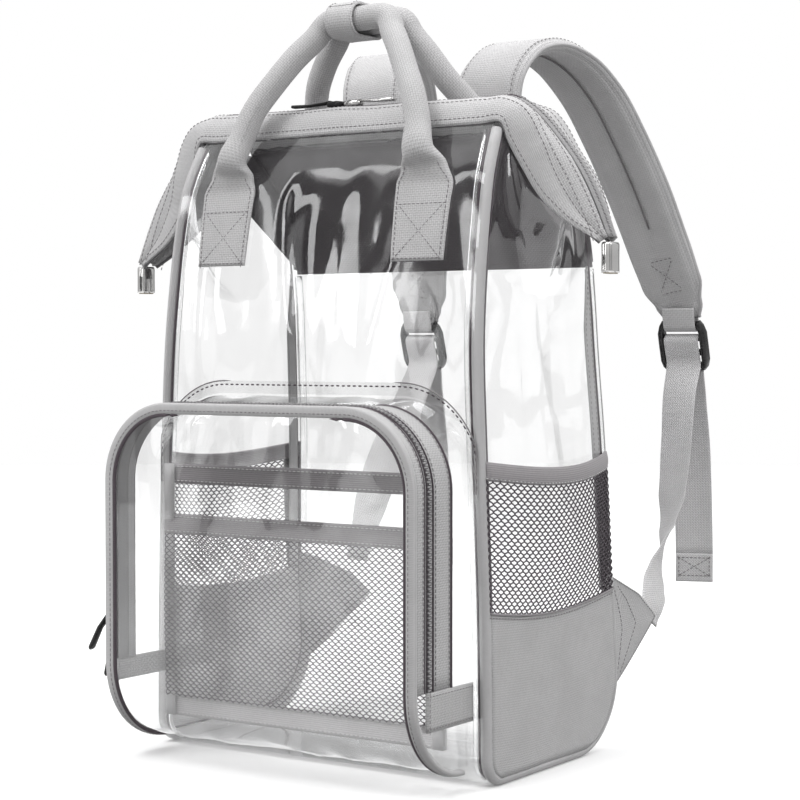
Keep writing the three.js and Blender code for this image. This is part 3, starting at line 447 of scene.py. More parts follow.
def loft(name, stations, look, nodes=(), sides=20):
    """A closed skin through stations of (place, across, out, wide, thick, round)."""
    vertices, uvs, faces = [], [], []
    run = 0.0
    for i, (place, across, out, wide, thick, roundness) in enumerate(stations):
        power = mix(0.28, 1.0, roundness)
        if i:
            run += (place - stations[i - 1][0]).length
        for k in range(sides + 1):
            turn = 2 * math.pi * k / sides
            c, s = math.cos(turn), math.sin(turn)
            a = math.copysign(abs(c) ** power, c) * wide / 2
            b = math.copysign(abs(s) ** power, s) * thick / 2
            vertices.append(tuple(place + across * a + out * b))
            uvs.append((mix(a, turn * wide / 2, roundness), run))
    ring = sides + 1
    for i in range(len(stations) - 1):
        for k in range(sides):
            faces.append((i * ring + k, i * ring + k + 1, (i + 1) * ring + k + 1, (i + 1) * ring + k))
    last = (len(stations) - 1) * ring
    faces.append(tuple(range(sides - 1, -1, -1)))
    faces.append(tuple(last + k for k in range(sides)))
    return finish_piece(name, vertices, faces, look, nodes, uvs)


def tube(name, points, radius, look, nodes=(), sides=12):
    line = frames([Vector(p) for p in points], RIGHTWARD)
    return loft(name, [(p, a, o, radius * 2, radius * 2, 1) for p, a, o in line], look, nodes, sides)


def bead(name, places, look, nodes, roundness):
    """A small solid part through (place, wide, thick)."""
    line = frames([Vector(p) for p, _, _ in places], BACKWARD)
    stations = [(*turned, *size, roundness) for turned, (_, *size) in zip(line, places)]
    loft(name, stations, look, nodes, 16)


def resample(points, step):
    """Points at equal steps along a line, with the direction at each."""
    out = []
    rest = 0.0
    for a, b in zip(points, points[1:]):
        a, b = Vector(a), Vector(b)
        length = (b - a).length
        if length < 1e-6:
            continue
        place = rest
        while place <= length:
            out.append((a.lerp(b, place / length), (b - a) / length))
            place += step
        rest = place - length
    return out


def block_faces(start):
    """Faces of a block made of four rings of four points."""
    faces = []
    for ring in range(3):
        for k in range(4):
            a, b = start + ring * 4 + k, start + ring * 4 + (k + 1) % 4
            faces.append((a, b, b + 4, a + 4))
    faces.append((start + 3, start + 2, start + 1, start))
    faces.append((start + 12, start + 13, start + 14, start + 15))
    return faces


def stitches(name, lines, look="thread", pitch=3.4, length=2.3, radius=0.32, lift=0.25):
    """Rows of raised stitches along lines of (points, outward direction or list of them)."""
    vertices, faces = [], []
    for points, facing in lines:
        for place, along in resample(points, pitch):
            if isinstance(facing, Vector):
                up = facing
            else:
                nearest = min(range(len(points)), key=lambda i: (Vector(points[i]) - place).length_squared)
                up = Vector(facing[nearest])
            side = along.cross(up).normalized()
            up = side.cross(along).normalized()
            start = len(vertices)
            for reach, size in ((-0.5, 0.35), (-0.3, 1), (0.3, 1), (0.5, 0.35)):
                middle = place + along * (reach * length) + up * lift * size
                for a, b in ((1, 0), (0, 1), (-1, 0), (0, -0.6)):
                    vertices.append(tuple(middle + (side * a + up * b) * radius * size))
            faces += block_faces(start)
    return finish_piece(name, vertices, faces, look)


def crossed(corners, way):
    """Stitch lines round four corners, where the first comes again at the end, and across between them."""
    lines = [(corners[i:i + 2], way) for i in range(4)]
    return lines + [([corners[0], corners[2]], way), ([corners[1], corners[3]], way)]


def inner_line(rows, edge, distance, facing):
    """The line at some distance inside the top, foot, left or right edge of a grid, with the normals there."""
    p = numbers(rows)
    n = normals(rows)
    if edge in ("left", "right"):
        p, n = p.transpose(1, 0, 2), n.transpose(1, 0, 2)
    if edge in ("top", "right"):
        p, n = p[::-1], n[::-1]
    points, directions = [], []
    for j in range(p.shape[1]):
        column = p[:, j]
        run = np.concatenate([[0], np.cumsum(np.linalg.norm(np.diff(column, axis=0), axis=1))])
        i = min(max(int(np.searchsorted(run, distance)) - 1, 0), len(column) - 2)
        t = (distance - run[i]) / max(run[i + 1] - run[i], 1e-9)
        points.append(Vector(column[i] + (column[i + 1] - column[i]) * t))
        directions.append(Vector(n[i, j]))
    if directions[len(points) // 2].dot(facing) < 0:
        directions = [-d for d in directions]
    return points, directions


# Body
def crumple(rows, height, scale, seed=0, fade=0.1):
    """Push a sheet's points along its normals into creases that die out at its edges."""
    face = normals(rows)
    high, wide = len(rows) - 1, len(rows[0]) - 1
    out = []
    for i, row in enumerate(rows):
        line = []
        for j, p in enumerate(row):
            edge = min(1, i / high / fade, (1 - i / high) / fade, j / wide / fade, (1 - j / wide) / fade)
            q = (p[0], p[1], p[2] * 0.32)
            fold = ridged(q, scale, seed) ** 2 - 0.45 + 0.4 * soft(q, scale * 0.45, seed)
            fold += 0.3 * (ridged(q, scale * 2.6, seed + 3) ** 2 - 0.45)
            n = Vector(face[i, j])
            if n.dot(Vector(p) - MIDDLE) < 0:
                n = -n
            line.append(Vector(p) + n * (fold * height) * edge)
        out.append(line)
    return out


def body_across(u, z, inset):
    return mix(-1, 1, u) * (half(z) - inset)


def panel(rows, columns, foot, top, inset, depth):
    """A panel across the body, with its depth at each share across, share up and height."""

    def point(u, v):
        z = mix(foot, top, v)
        return Vector((body_across(u, z, inset), depth(u, v, z), z))

    return grid(rows, columns, point)


def body_panels():
    rows = panel(64, 44, FRONT_RADIUS, PANEL_TOP, PANEL_INSET, lambda u, v, z: front(z))
    shaped = []
    for i, row in enumerate(crumple(rows, 1.8, 0.014, 1)):
        weight = min(max((i / 64 - 0.52) / 0.1, 0.0), 1.0)
        shaped.append([flat.lerp(p, weight) for flat, p in zip(rows[i], row)])
    sheet("front_panel_clear", shaped, "vinyl", ["front_panel"])
    line = []
    for share in shares(8):
        z = FRONT_RADIUS * (1 - math.sin(QUARTER * share))
        line.append((front(z) + FRONT_RADIUS * (1 - math.cos(QUARTER * share)), z))
    for share in shares(14):
        z = BACK_RADIUS * (1 - math.cos(QUARTER * share))
        line.append((back(z) - BACK_RADIUS * (1 - math.sin(QUARTER * share)), z))
    base = [[Vector((body_across(u, z, PANEL_INSET), y, z)) for u in shares(30)] for y, z in line]
    sheet("base_panel_clear", base, "vinyl", ["base_panel"])

    def bulged(u, v, z):
        across = 1 - abs(mix(-1, 1, u)) ** 5
        return back(z) + BACK_BULGE * across * math.sqrt(math.sin(math.pi * min(v, 1 - 1e-6)))

    rows = panel(50, 36, BACK_RADIUS, YOKE_FOOT + 4, PANEL_INSET, bulged)
    sheet("back_panel_clear", crumple(rows, 2.6, 0.018, 2), "vinyl", ["back_panel"])
    outside = (0, 400, 360)
    yoke = panel(24, 30, YOKE_HEM, PANEL_TOP, 2.4, lambda u, v, z: back(z) - 0.8)
    sheet("back_yoke_cloth", yoke, "yoke_fabric", ["back_yoke"], 2.0, outside)
    top = grid(3, 30, lambda u, v: Vector((
        body_across(u, PANEL_TOP, 2.4), mix(back(PANEL_TOP) - 0.8, 2.4, v), mix(PANEL_TOP - 0.5, 402.5, v),
    )))
    sheet("back_yoke_turnup", top, "yoke_fabric", ["back_yoke"], 1.6, outside)


# Mouth
CLEAR = 1.8
ARM = {"right": (62, 73), "left": (71, 80)}
LEAN = 27
ZIP_HALF = 4.6
MOUTH_Y = front(BODY_HEIGHT) + LEAN
MOUTH_X = half(BODY_HEIGHT)
FINE = 44
ZIP = [(-0.07, 0, -0.24, 0), (0.187, 0, -0.11, 0.3), (0.445, 0, 0.123, 0.6), (0.687, 0, 0.397, 0.9),
       (0.88, 0, 0.712, 1), (1, 0, 0.965, 1)]
CROWN = {
    "front": [(-0.04, 0.74, -0.205), (0.203, 0.74, -0.11), (0.373, 0.63, 0.15), (0.494, 0.48, 0.438),
              (0.72, 0.34, 0.76), (0.97, 0.26, 0.98)],
    "back": [(-0.04, 0.74, -0.205), (0.22, 0.74, -0.11), (0.5, 0.74, 0.24), (0.7, 0.68, 0.49),
             (0.86, 0.5, 0.78), (0.98, 0.26, 0.98)],
}
HEM = {
    "front": [(0, 1, 0), (0.058, 0.89, 0.164), (0.187, 0.74, 0.397), (0.332, 0.6, 0.616),
              (0.56, 0.46, 0.81), (0.93, 0.32, 1)],
    "back": [(0, 1, 0), (0.07, 0.92, 0.164), (0.22, 0.86, 0.397), (0.42, 0.74, 0.616),
             (0.64, 0.56, 0.81), (0.94, 0.32, 1)],
}


def band_line(rows, sign, shift=0.0):
    """A line of a mouth band from the left tail over the ridge to the right tail."""
    lines = {}
    for name, (reach, drop) in ARM.items():
        points = []
        for row in rows:
            away = LEAN * row[1] if row[1] else shift + 2.6 * (row[3] if len(row) > 3 else 0)
            x, z = MOUTH_X + reach * row[0], BODY_HEIGHT - drop * row[2]
            points.append(Vector((x, MOUTH_Y + sign * away, z)))
        points.insert(0, Vector((points[0].x - 14, points[0].y, points[0].z)))
        lines[name] = smooth(points, FINE)
    left = [flip(p, -1) for p in reversed(lines["left"])]
    right = lines["right"]
    middle = [left[-1].lerp(right[0], t) for t in shares(26)[1:-1]]
    return left + middle + right


ZIP_LINE = band_line(ZIP, 0)
HEMS = {"front": band_line(HEM["front"], -1), "back": band_line(HEM["back"], 1)}


def mouth_bands():
    for name, sign in (("front", -1), ("back", 1)):
        crown = band_line(CROWN[name], sign)
        edge = band_line(ZIP, sign, ZIP_HALF)
        rows = []
        for hem, top, rim in zip(HEMS[name], crown, edge):
            curve = smooth([hem, top, rim], 16)
            crease = [hem.lerp(top, t) for t in shares(8)] + [top.lerp(rim, t) for t in shares(8)[1:]]
            rows.append([a.lerp(b, 0.45) for a, b in zip(curve, crease)])
        rows = [list(line) for line in zip(*rows)]
        face = normals(rows)
        width = len(rows[0]) - 1
        for i, row in enumerate(rows):
            share = i / 16
            step = share * 2 if share < 0.5 else share * 2 - 1
            puff = (1.1 if share < 0.5 else 0.9) * math.sin(math.pi * step)
            for j, p in enumerate(row):
                n = Vector(face[i, j])
                if n.dot(Vector((0, sign, 0.4))) < 0 and abs(p.x) < 90:
                    n = -n
                wave = 0.9 * soft(p, 0.03, 4) + 0.5 * soft(p, 0.09, 6)
                end = min(1, j / width / 0.03, (1 - j / width) / 0.03)
                row[j] = p + n * (puff + wave * min(1, share * 3 + 0.3)) * end * 0.9
        outside = (0, sign * 200, 900)
        sheet(f"mouth_band_{name}_cloth", rows, "band_fabric", [f"mouth_band_{name}"], 2.4, outside)
        outward = Vector((0, sign, 0.5))
        seams = [inner_line(rows, *where, outward) for where in (("foot", 4.0), ("top", 2.2), ("top", 8.5))]
        seams.append((rows[8], [Vector(n) for n in normals(rows)[8]]))
        seams = [(points, [fit_side(p, d, sign) for p, d in zip(points, ways)]) for points, ways in seams]
        stitches(f"mouth_band_{name}_stitches", seams, "dark_thread", 3.4, 2.3, 0.3, 0.15)
        # The dark tube just inside each band's hem is painted shade under the hem's fold, not a cloth of its
        # own.
        under = [p - d * 2.4 for p, d in zip(*inner_line(rows, "foot", 0.2, outward))]
        tube(f"mouth_band_{name}_fold", under, 1.0, "painted_shade_fabric", (), 8)


def fit_side(point, direction, sign):
    """The direction away from the mouth's middle plane, or upwards on the ridge."""
    guide = Vector((0, sign, 0.55 if abs(point.x) < MOUTH_X else 0.25))
    if point.x > MOUTH_X:
        guide.x = 0.4
    elif point.x < -MOUTH_X:
        guide.x = -0.4
    return direction if direction.dot(guide) > 0 else -direction


def boxes(name, places, look, nodes=()):
    """Many small chamfered blocks from (middle, x direction, y direction, z direction with half lengths)."""
    vertices, faces = [], []
    for middle, a, b, c in places:
        start = len(vertices)
        for k, share in ((-1, 0.72), (-0.6, 1), (0.6, 1), (1, 0.72)):
            for i, j in ((1, 1), (-1, 1), (-1, -1), (1, -1)):
                vertices.append(tuple(middle + a * (i * share) + b * (j * share) + c * k))
        faces += block_faces(start)
    return finish_piece(name, vertices, faces, look, nodes, None, False)


def main_zip():
    line = frames(ZIP_LINE, BACKWARD)
    loft("main_zip_tape", [(p, a, o, ZIP_HALF * 2 + 1.2, 1.5, 0) for p, a, o in line], "tape", ["main_zip"], 8)
    teeth = []
    for k, (place, along) in enumerate(resample(ZIP_LINE, 1.35)):
        out = BACKWARD.cross(along).normalized()
        if out.z < 0 and abs(place.x) < MOUTH_X:
            out = -out
        if (place.x > 0 and out.x < 0) or (place.x < 0 and out.x > 0):
            out = -out if abs(place.x) > MOUTH_X else out
        side = 1 if k % 2 else -1
        middle = place + out * 0.9 + Vector((0, side * 0.5, 0))
        teeth.append((middle, along * 0.5, out * 0.5, Vector((0, 1.3, 0))))
    boxes("main_zip_coil", teeth, "teeth", ["main_zip"])
    for name, sign in (("front", -1), ("back", 1)):
        edge = []
        for p, _, o in line:
            rise = 0.9 if o.z > 0 or abs(p.x) > MOUTH_X else -0.9
            edge.append(p + o * rise + Vector((0, sign * 3.3, 0)))
        tube(f"main_zip_line_{name}", edge, 0.6, "dark_edge", ["main_zip"], 6)


def clips_and_sliders():
    metal = [(0, 6.0, 10.4), (-0.5, 7.0, 11.6), (-1.6, 7.4, 12.2), (-9, 7.2, 12.2), (-17.2, 7.4, 12.2),
             (-18.4, 7.6, 12.4)]
    lining = [(-18.2, 6.0, 10.8), (-19.0, 5.8, 10.6)]
    for name, tail, inward in (("left", ZIP_LINE[0], 1), ("right", ZIP_LINE[-1], -1)):
        x0, z0 = tail.x + inward, tail.z - 2.9
        for part, rows, look in (("metal", metal, "chrome"), ("lining", lining, "beige")):
            stations = [(Vector((x0, MOUTH_Y, z0 + z)), RIGHTWARD, BACKWARD, w, t, 0.12) for z, w, t in rows]
            loft(f"zip_end_clip_{name}_{part}", stations, look, [f"zip_end_clip_{name}"], 32)
    ridge = ZIP_LINE[len(ZIP_LINE) // 2].z + 1.6
    body = [(0.5, 2.2, 5, 2.4), (1.6, 2.2, 8, 3.8), (6, 2.4, 7.4, 4.6), (11.5, 2.2, 8, 3.8), (13, 2.2, 6, 2.6)]
    for name, side, reach, look in (("left", -1, 30, "black_plastic"), ("right", 1, 26, "chrome")):
        pull = [(11.5, 4.4, 4.5, 1.6), (15, 3.6, 5.4, 2.0), (13 + reach * 0.5, 2.8, 4.6, 1.9),
                (12 + reach, 3, 6.2, 2.2), (13 + reach, 3, 4.2, 1.6)]
        for part, rows, roundness in (("body", body, 0.25), ("pull", pull, 0.3)):
            places = [((side * x - 16, MOUTH_Y, ridge + z), wide, thick) for x, z, wide, thick in rows]
            bead(f"main_zip_slider_{name}_{part}", places, look, [f"main_zip_slider_{name}"], roundness)


# Sides
def seam(u):
    return mix(105, 98, math.sin(math.pi * u))


def net_top(u):
    return mix(184.5, 178.5, math.sin(math.pi * u))


def wall_point(u, z, inset, out):
    return Vector((half(z) + out, mix(front_edge(z, inset), back_edge(z, inset), u), z))


def tent_top(side):
    tail = len(ZIP_LINE) - 1
    first = tail - 36

    def point(u):
        place = mix(first, tail - 11, 1 - abs(1 - 2 * u))
        i = int(place)
        ends = []
        for hem in (HEMS["front"], HEMS["back"]):
            a, b = [hem[tail - k if side < 0 else k] for k in (i, i + 1)]
            ends.append(a.lerp(b, place - i))
        turn = min(max((u - 0.36) / 0.28, 0.0), 1.0)
        p = ends[0].lerp(ends[1], turn * turn * (3 - 2 * turn))
        return Vector((abs(p.x) - CLEAR, p.y, p.z - CLEAR * 1.5))

    return point


def side_wall(side, inset):
    foot = BODY_HEIGHT * 0.74
    top = tent_top(side)

    def tent(u, v):
        z = mix(foot, PANEL_TOP, v)
        p = wall_point(u, foot, inset, 0).lerp(top(u), v)
        for end, weight in ((0, max(0, 1 - 3 * u)), (1, max(0, 3 * u - 2))):
            ruled = wall_point(end, foot, inset, 0).lerp(top(end), v)
            clear = inset + 1.2 * min(1, v * 3)
            p += (wall_point(end, z, clear, 0) - ruled) * weight
        return p

    lower = grid(30, 36, lambda u, v: wall_point(u, mix(seam(u) + 0.3, foot, v), inset, 0))
    return lower + grid(36, 36, tent)[1:]


def mirrored(rows, side):
    return [[flip(p, side) for p in row] for row in rows]


def net_bow(u, v):
    return 0.3 + 11 * math.sin(math.pi * u) ** 0.8 * math.sin(QUARTER * v) ** 0.8


def lens_net(name, point, across, up, pitch, rise, radius, look, nodes, steps=8, sides=3):
    """Netting of wavy strands that touch their neighbours, on a surface given by lengths across and up."""
    vertices, faces = [], []
    count = int(across / (pitch / 2))
    stages = int(up / rise * steps)
    for k in range(count + 1):
        line = []
        for i in range(stages + 1):
            height = i / stages * up
            sway = math.cos(2 * math.pi * height / rise + math.pi * k)
            sway = math.copysign(abs(sway) ** 0.75, sway)
            place = (k * pitch / 2 + pitch / 4 * sway) / across
            line.append(point(min(max(place, 0), 1), height / up))
        start = len(vertices)
        for i, p in enumerate(line):
            tangent = (line[min(i + 1, stages)] - line[max(i - 1, 0)]).normalized()
            out = RIGHTWARD if abs(line[0].x) > 116 else BACKWARD
            a = tangent.cross(out).normalized()
            b = a.cross(tangent)
            for s in range(sides):
                turn = 2 * math.pi * s / sides
                vertices.append(tuple(p + (a * math.cos(turn) + b * math.sin(turn)) * radius))
        for i in range(stages):
            for s in range(sides):
                p, q = start + i * sides + s, start + i * sides + (s + 1) % sides
                faces.append((p, q, q + sides, p + sides))
    return finish_piece(name, vertices, faces, look, nodes)


def side_gusset(name, side):
    """Dark lining that turns round from the yoke on to the side, where it narrows towards the front."""

    def point(u, v):
        z = mix(mix(388, YOKE_HEM, u), PANEL_TOP - 3, v)
        return Vector((side * (half(z) - 5.5), mix(front_edge(z, 6), back_edge(z, 3), mix(0.24, 1, u)), z))

    rows = grid(24, 20, point)
    sheet(f"back_yoke_gusset_{name}", rows, "yoke_fabric", ["back_yoke"], 0.8, (side * 600, 0, 350))


def side_pocket(name, side, outside):
    """The fabric foot of a side, with the netting and its elastic band over it."""
    lower = grid(24, 36, lambda u, v: wall_point(u, mix(5, seam(u), v), 4.6, 0.2 * math.sin(9 * u + 3 * v)))
    lower = mirrored(lower, side)
    sheet(f"side_base_{name}_cloth", lower, "grey_fabric", [f"side_base_{name}"], 1.8, outside)

    def netting(u, v):
        return flip(wall_point(u, mix(seam(u), net_top(u), v), PIPING, net_bow(u, v)), side)

    lens_net(f"side_net_{name}_mesh", netting, 157, 81, 6.2, 4.6, 0.56, "net", [f"side_net_{name}"])
    rear = grid(20, 3, lambda u, v: netting(mix(0.905, 1, u), v) + Vector((-side * 0.9, 0, 0)))
    sheet(f"side_net_{name}_edge", rear, "dark_edge", [f"side_net_{name}"])

    def band(u, v):
        away = net_bow(u, 1) + 0.9 * math.sin(math.pi * v)
        return flip(wall_point(u, net_top(u) - 0.5 + v * 11.5, PIPING, away), side)

    rows = grid(8, 40, band)
    sheet(f"side_net_band_{name}_cloth", rows, "elastic", [f"side_net_band_{name}"], 1.8, outside)
    out = Vector((side, 0, 0))
    low = inner_line(rows, "foot", 1.6, out)
    line = []
    for u in shares(36):
        z = seam(u)
        line.append(Vector((side * (half(z) + 0.5), wall_point(u, z, PIPING, 0).y, z)))
    stitches(f"side_net_band_{name}_stitches", [low], "thread", 3.6, 2.1, 0.34, 0.3)
    stitches(f"side_base_{name}_stitches", [([p + Vector((0, 0, -2.4)) for p in line], out)], "dark_thread")
    tube(f"side_seam_{name}", line, 0.7, "elastic", (), 8)


def piping_line(side):
    """The piping's line: from the mouth down the front, under the base and up to the top of the strap tab."""
    places = [(mix(PANEL_TOP - 2.6, FRONT_RADIUS, v), front_edge) for v in shares(40)]
    for v in shares(10)[1:]:
        places.append((FRONT_RADIUS - (FRONT_RADIUS - PIPING) * math.sin(QUARTER * v), front_edge))
    for v in shares(16):
        places.append((BACK_RADIUS - (BACK_RADIUS - PIPING) * math.cos(QUARTER * v), back_edge))
    places += [(mix(BACK_RADIUS, TAB_TOP, v), back_edge) for v in shares(8)[1:]]
    return [Vector((side * (half(z) - PIPING), edge(z, PIPING), z)) for z, edge in places]


def side_edges(name, side, outside):
    """The piping with dark lines beside it that are painted shade in the crevices along its cord, the back seam
    and the binding inside it.
    """
    edge = piping_line(side)
    tube(f"side_piping_{name}_cord", edge, PIPING, "piping_fabric", [f"side_piping_{name}"], 16)
    # The dark line on the front side of the cord is painted shade in the crevice between the cord and the front
    # panel.
    ahead = [p + Vector((-side * 4.2, -1.2, 0)) for p in edge[:50]]
    tube(f"front_seam_{name}_line", ahead, 0.8, "dark_edge", (), 8)
    ahead = [p + Vector((-side * 7.0, -1.0, 0)) for p in edge[:50]]
    tube(f"front_seam_{name}_clear", ahead, 1.5, "seam_vinyl", (), 10)
    # The dark tube along the cord's inner side is painted shade where the cord meets the side's cloth.
    inner = []
    last = len(edge) - 1
    for i, p in enumerate(edge):
        tangent = (edge[min(i + 1, last)] - edge[max(i - 1, 0)]).normalized()
        inward = Vector((0, tangent.z, -tangent.y)).normalized()
        if inward.dot(Vector((0, -p.y, 110 - p.z))) < 0:
            inward = -inward
        inner.append(p + inward * 4.1 + Vector((side * 2.0, 0, 0)))
    tube(f"side_piping_{name}_line", inner, 0.75, "dark_edge", (), 8)
    rear = []
    for v in shares(60):
        z = mix(TAB_TOP + 0.3, PANEL_TOP - 4, v)
        rear.append(Vector((side * (half(z) - PIPING), back_edge(z, PIPING), z)))
    clear = [p for p in rear if p.z < YOKE_FOOT]
    tube(f"back_seam_{name}_cord", clear, 3.0, "seam_vinyl", [f"back_seam_{name}"], 12)
    covered = [p for p in rear if p.z > YOKE_FOOT - 4]
    tube(f"back_seam_{name}_upper", covered, 3.0, "yoke_fabric", [f"back_seam_{name}"], 12)
    line = [p + Vector((side * 2.2, -4.6, 0)) for p in rear]
    tube(f"back_seam_{name}_line", line, 0.8, "dark_edge", [f"back_seam_{name}"], 8)
    foot, top = 105.3, 316

    def binding(u, v):
        z = mix(foot, top, v)
        wide = 9 * min(1, (top - z) / 45 + 0.12)
        return Vector((side * (half(z) - 1.5), back_edge(z, VINYL_INSET) - 3 - (1 - u) * wide, z))

    rows = grid(50, 5, binding)
    sheet(f"back_binding_{name}_tape", rows, "piping_fabric", [f"back_binding_{name}"], 1.1, outside)
    lines = [inner_line(rows, where, 1.5, Vector((side, 0, 0))) for where in ("left", "right")]
    stitches(f"back_binding_{name}_stitches", lines, "dark_thread", 3.4, 2.0, 0.25, 0.1)


def side_pieces():
    for name, side in SIDES:
        outside = (side * 600, 0, 100)
        wall = crumple(mirrored(side_wall(side, VINYL_INSET - 2.2), side), 2.4, 0.017, 5 + side, 0.14)
        sheet(f"side_panel_{name}_clear", wall, "vinyl", [f"side_panel_{name}"])
        side_pocket(name, side, outside)
        side_gusset(name, side)
        side_edges(name, side, outside)


# Handles
HANDLE_OUT, HANDLE_TUBE, PATCH_WIDTH = 76, 16, 38
WRAP_X, WRAP_Z = -8, 474.7
# Stations of a leg: out, height, distance from the mouth in front and behind, wide, thick and round.
# A distance of None lies on the panel.
LEGS = [
    (1, 316, None, None, 1, 0.13, 0), (1, 328, None, None, 1.02, 0.13, 0), (1, 340, None, None, 1.04, 0.13, 0),
    (1, 352, None, None, 1.06, 0.14, 0), (1, 363, None, None, 1.08, 0.16, 0),
    (0.98, 374, None, None, 0.86, 0.4, 0.4),
    (0.95, 385, 48, 50, 0.54, 0.9, 0.9), (0.9, 399, 42, 42, 0.45, 1.04, 1), (0.82, 417, 37, 31, 0.42, 1, 1),
    (0.67, 436, 29, 17, 0.42, 1, 1), (0.53, 452, 21, 12, 0.42, 1, 1), (0.4, 464, 13.5, 9.8, 0.42, 1, 1),
    (0.3, 474.4, 8.7, 8.7, 0.42, 1, 1), (0, 475, 8.7, 8.7, 0.42, 1, 1),
]


def leaning(face, z):
    return math.hypot(1, (face(z) - face(z - 4)) / 4)


def refined(points, values, parts):
    """More places along a line of points, with the numbers that go with them."""
    last = len(points) - 1
    line = smooth(points, last * parts)
    out = []
    for k, p in enumerate(line):
        i = min(k // parts, last - 1)
        t = (k - i * parts) / parts
        t = t * t * (3 - 2 * t)
        out.append((p, [mix(a, b, t) for a, b in zip(values[i], values[i + 1])]))
    return out


def handle(name, sign, face):
    leg = []
    for out, z, ahead, behind, wide, thick, roundness in LEGS:
        off = ahead if sign < 0 else behind
        thick *= HANDLE_TUBE
        clear = 0.6 + thick / 2 * (leaning(face, z) if z < BODY_HEIGHT else 0)
        sewn = sign * face(z) + clear if z < BODY_HEIGHT else -400
        free = sign * MOUTH_Y + off if off else -400
        place = Vector((HANDLE_OUT * out, sign * max(sewn, free), z))
        leg.append((place, (PATCH_WIDTH * wide, thick, roundness)))
    stations = [(flip(p, -1), values) for p, values in leg] + leg[-2::-1]
    line = refined([p for p, _ in stations], [values for _, values in stations], 5)
    turned = frames([p for p, _ in line], BACKWARD)
    rings, seam_line, patch = [], [], []
    for (place, (wide, thick, roundness)), (_, across, out) in zip(line, turned):
        flat = 1 - roundness
        width = Vector((-1 if out.x < 0 else 1, 0, 0)).lerp(out, roundness).normalized()
        facing = across.lerp(BACKWARD, flat).normalized()
        lumps = 1 + 0.025 * soft(place, 0.05, 8) * roundness
        rings.append((place, width, facing, wide * lumps, thick * lumps, roundness))
        away = facing * sign
        patch.append((place, width, away, wide, thick, roundness))
        if roundness > 0.95:
            low = width * (-0.62 if width.z > 0 else 0.62)
            seam_line.append((place + (away * 0.8 + low).normalized() * wide * 0.5, away))
    loft(f"{name}_cloth", rings, "grey_fabric", [name], 28)
    lines = []
    for chosen in (patch[:26], patch[-26:]):
        for edge in (-1, 1):
            points = []
            for place, width, away, wide, thick, roundness in chosen:
                side = Vector((abs(width.x), width.y, width.z * (1 if width.x > 0 else -1)))
                inset = side * edge * (wide / 2 - 2.2) * (1 - roundness * 0.3)
                points.append(place + inset + away * (thick / 2))
            lines.append((points, [station[2] for station in chosen]))
        foot = min((station[0] for station in chosen), key=lambda p: p.z)
        corners = []
        for x, z in ((-16.8, 1.6), (16.8, 1.6), (16.8, 35), (-16.8, 35), (-16.8, 1.6)):
            height = foot.z + z
            corners.append(Vector((foot.x + x, sign * (sign * face(height) + 0.6 + 2.2), height)))
        box = crossed(corners, Vector((0, sign, 0)))
        lines += [box[0], box[2], *box[4:]]
    stitches(f"{name}_patch_stitches", lines, "dark_thread", 3.2, 2.3, 0.3, 0.1)
    stitches(f"{name}_seam_stitches", [tuple(zip(*seam_line))], "thread", 3.4, 2.4, 0.22, 0.0)
    for where, edge in SIDES:
        x, z = edge * HANDLE_OUT, 315.2
        y = sign * (sign * face(z) + 1.6)
        tube(f"{name}_edge_{where}", [(x + a, y, z) for a in (-19, 0, 19)], 1.1, "dark_edge", [name], 8)


def handle_wrap():
    """A band round both handle tubes, whose loose end lies over the top."""
    inner, spread = 9.3 + 0.2, 8.7
    above = (WRAP_X, MOUTH_Y, 900)
    profile = []
    for side in (-1, 1):
        for share in shares(16):
            turn = -side * math.pi / 2 + math.pi * share
            profile.append((side * spread + inner * math.cos(turn), inner * math.sin(turn)))

    def placed(x, y, z):
        return Vector((WRAP_X + x, MOUTH_Y + y, WRAP_Z + z))

    rows = []
    for x in np.linspace(-10.5, 10.5, 12):
        bow = 0.5 * (abs(x) / 10.5) ** 4
        row = [placed(x, a * (1 + 0.05 * bow), b * (1 + 0.03 * bow)) for a, b in profile]
        rows.append(row + [row[0].copy()])
    sheet("handle_wrap_cloth", rows, "band_fabric", ["handle_wrap"], 1.6, above)
    outer = inner + 2.0
    over = []
    for share in shares(14):
        turn = math.pi * 0.72 - math.pi * 0.22 * share
        over.append((-spread + outer * math.cos(turn), outer * math.sin(turn)))
    over += [(mix(-spread, spread, s), outer - 0.2 * math.sin(math.pi * s)) for s in shares(8)[1:]]
    over += [(spread + 7, inner + 3.2), (spread + 14, inner + 4.0), (spread + 20, inner + 3.6)]
    rows = [[placed(x, a, b) for a, b in over] for x in np.linspace(-10.2, 10.2, 10)]
    sheet("handle_wrap_flap", rows, "band_fabric", ["handle_wrap"], 1.4, above)
    lines = []
    for x in (-8.4, 8.4):
        lines.append(([placed(x, a, b) for a, b in over], Vector((0, -0.2, 1))))
        ring = [placed(x, a * 1.02, b * 1.02) for a, b in profile[2:17]]
        lines.append((ring, [Vector((0, a + spread, b)) for a, b in profile[2:17]]))
    stitches("handle_wrap_stitches", lines, "dark_thread", 3.0, 2.0, 0.28, 0.2)


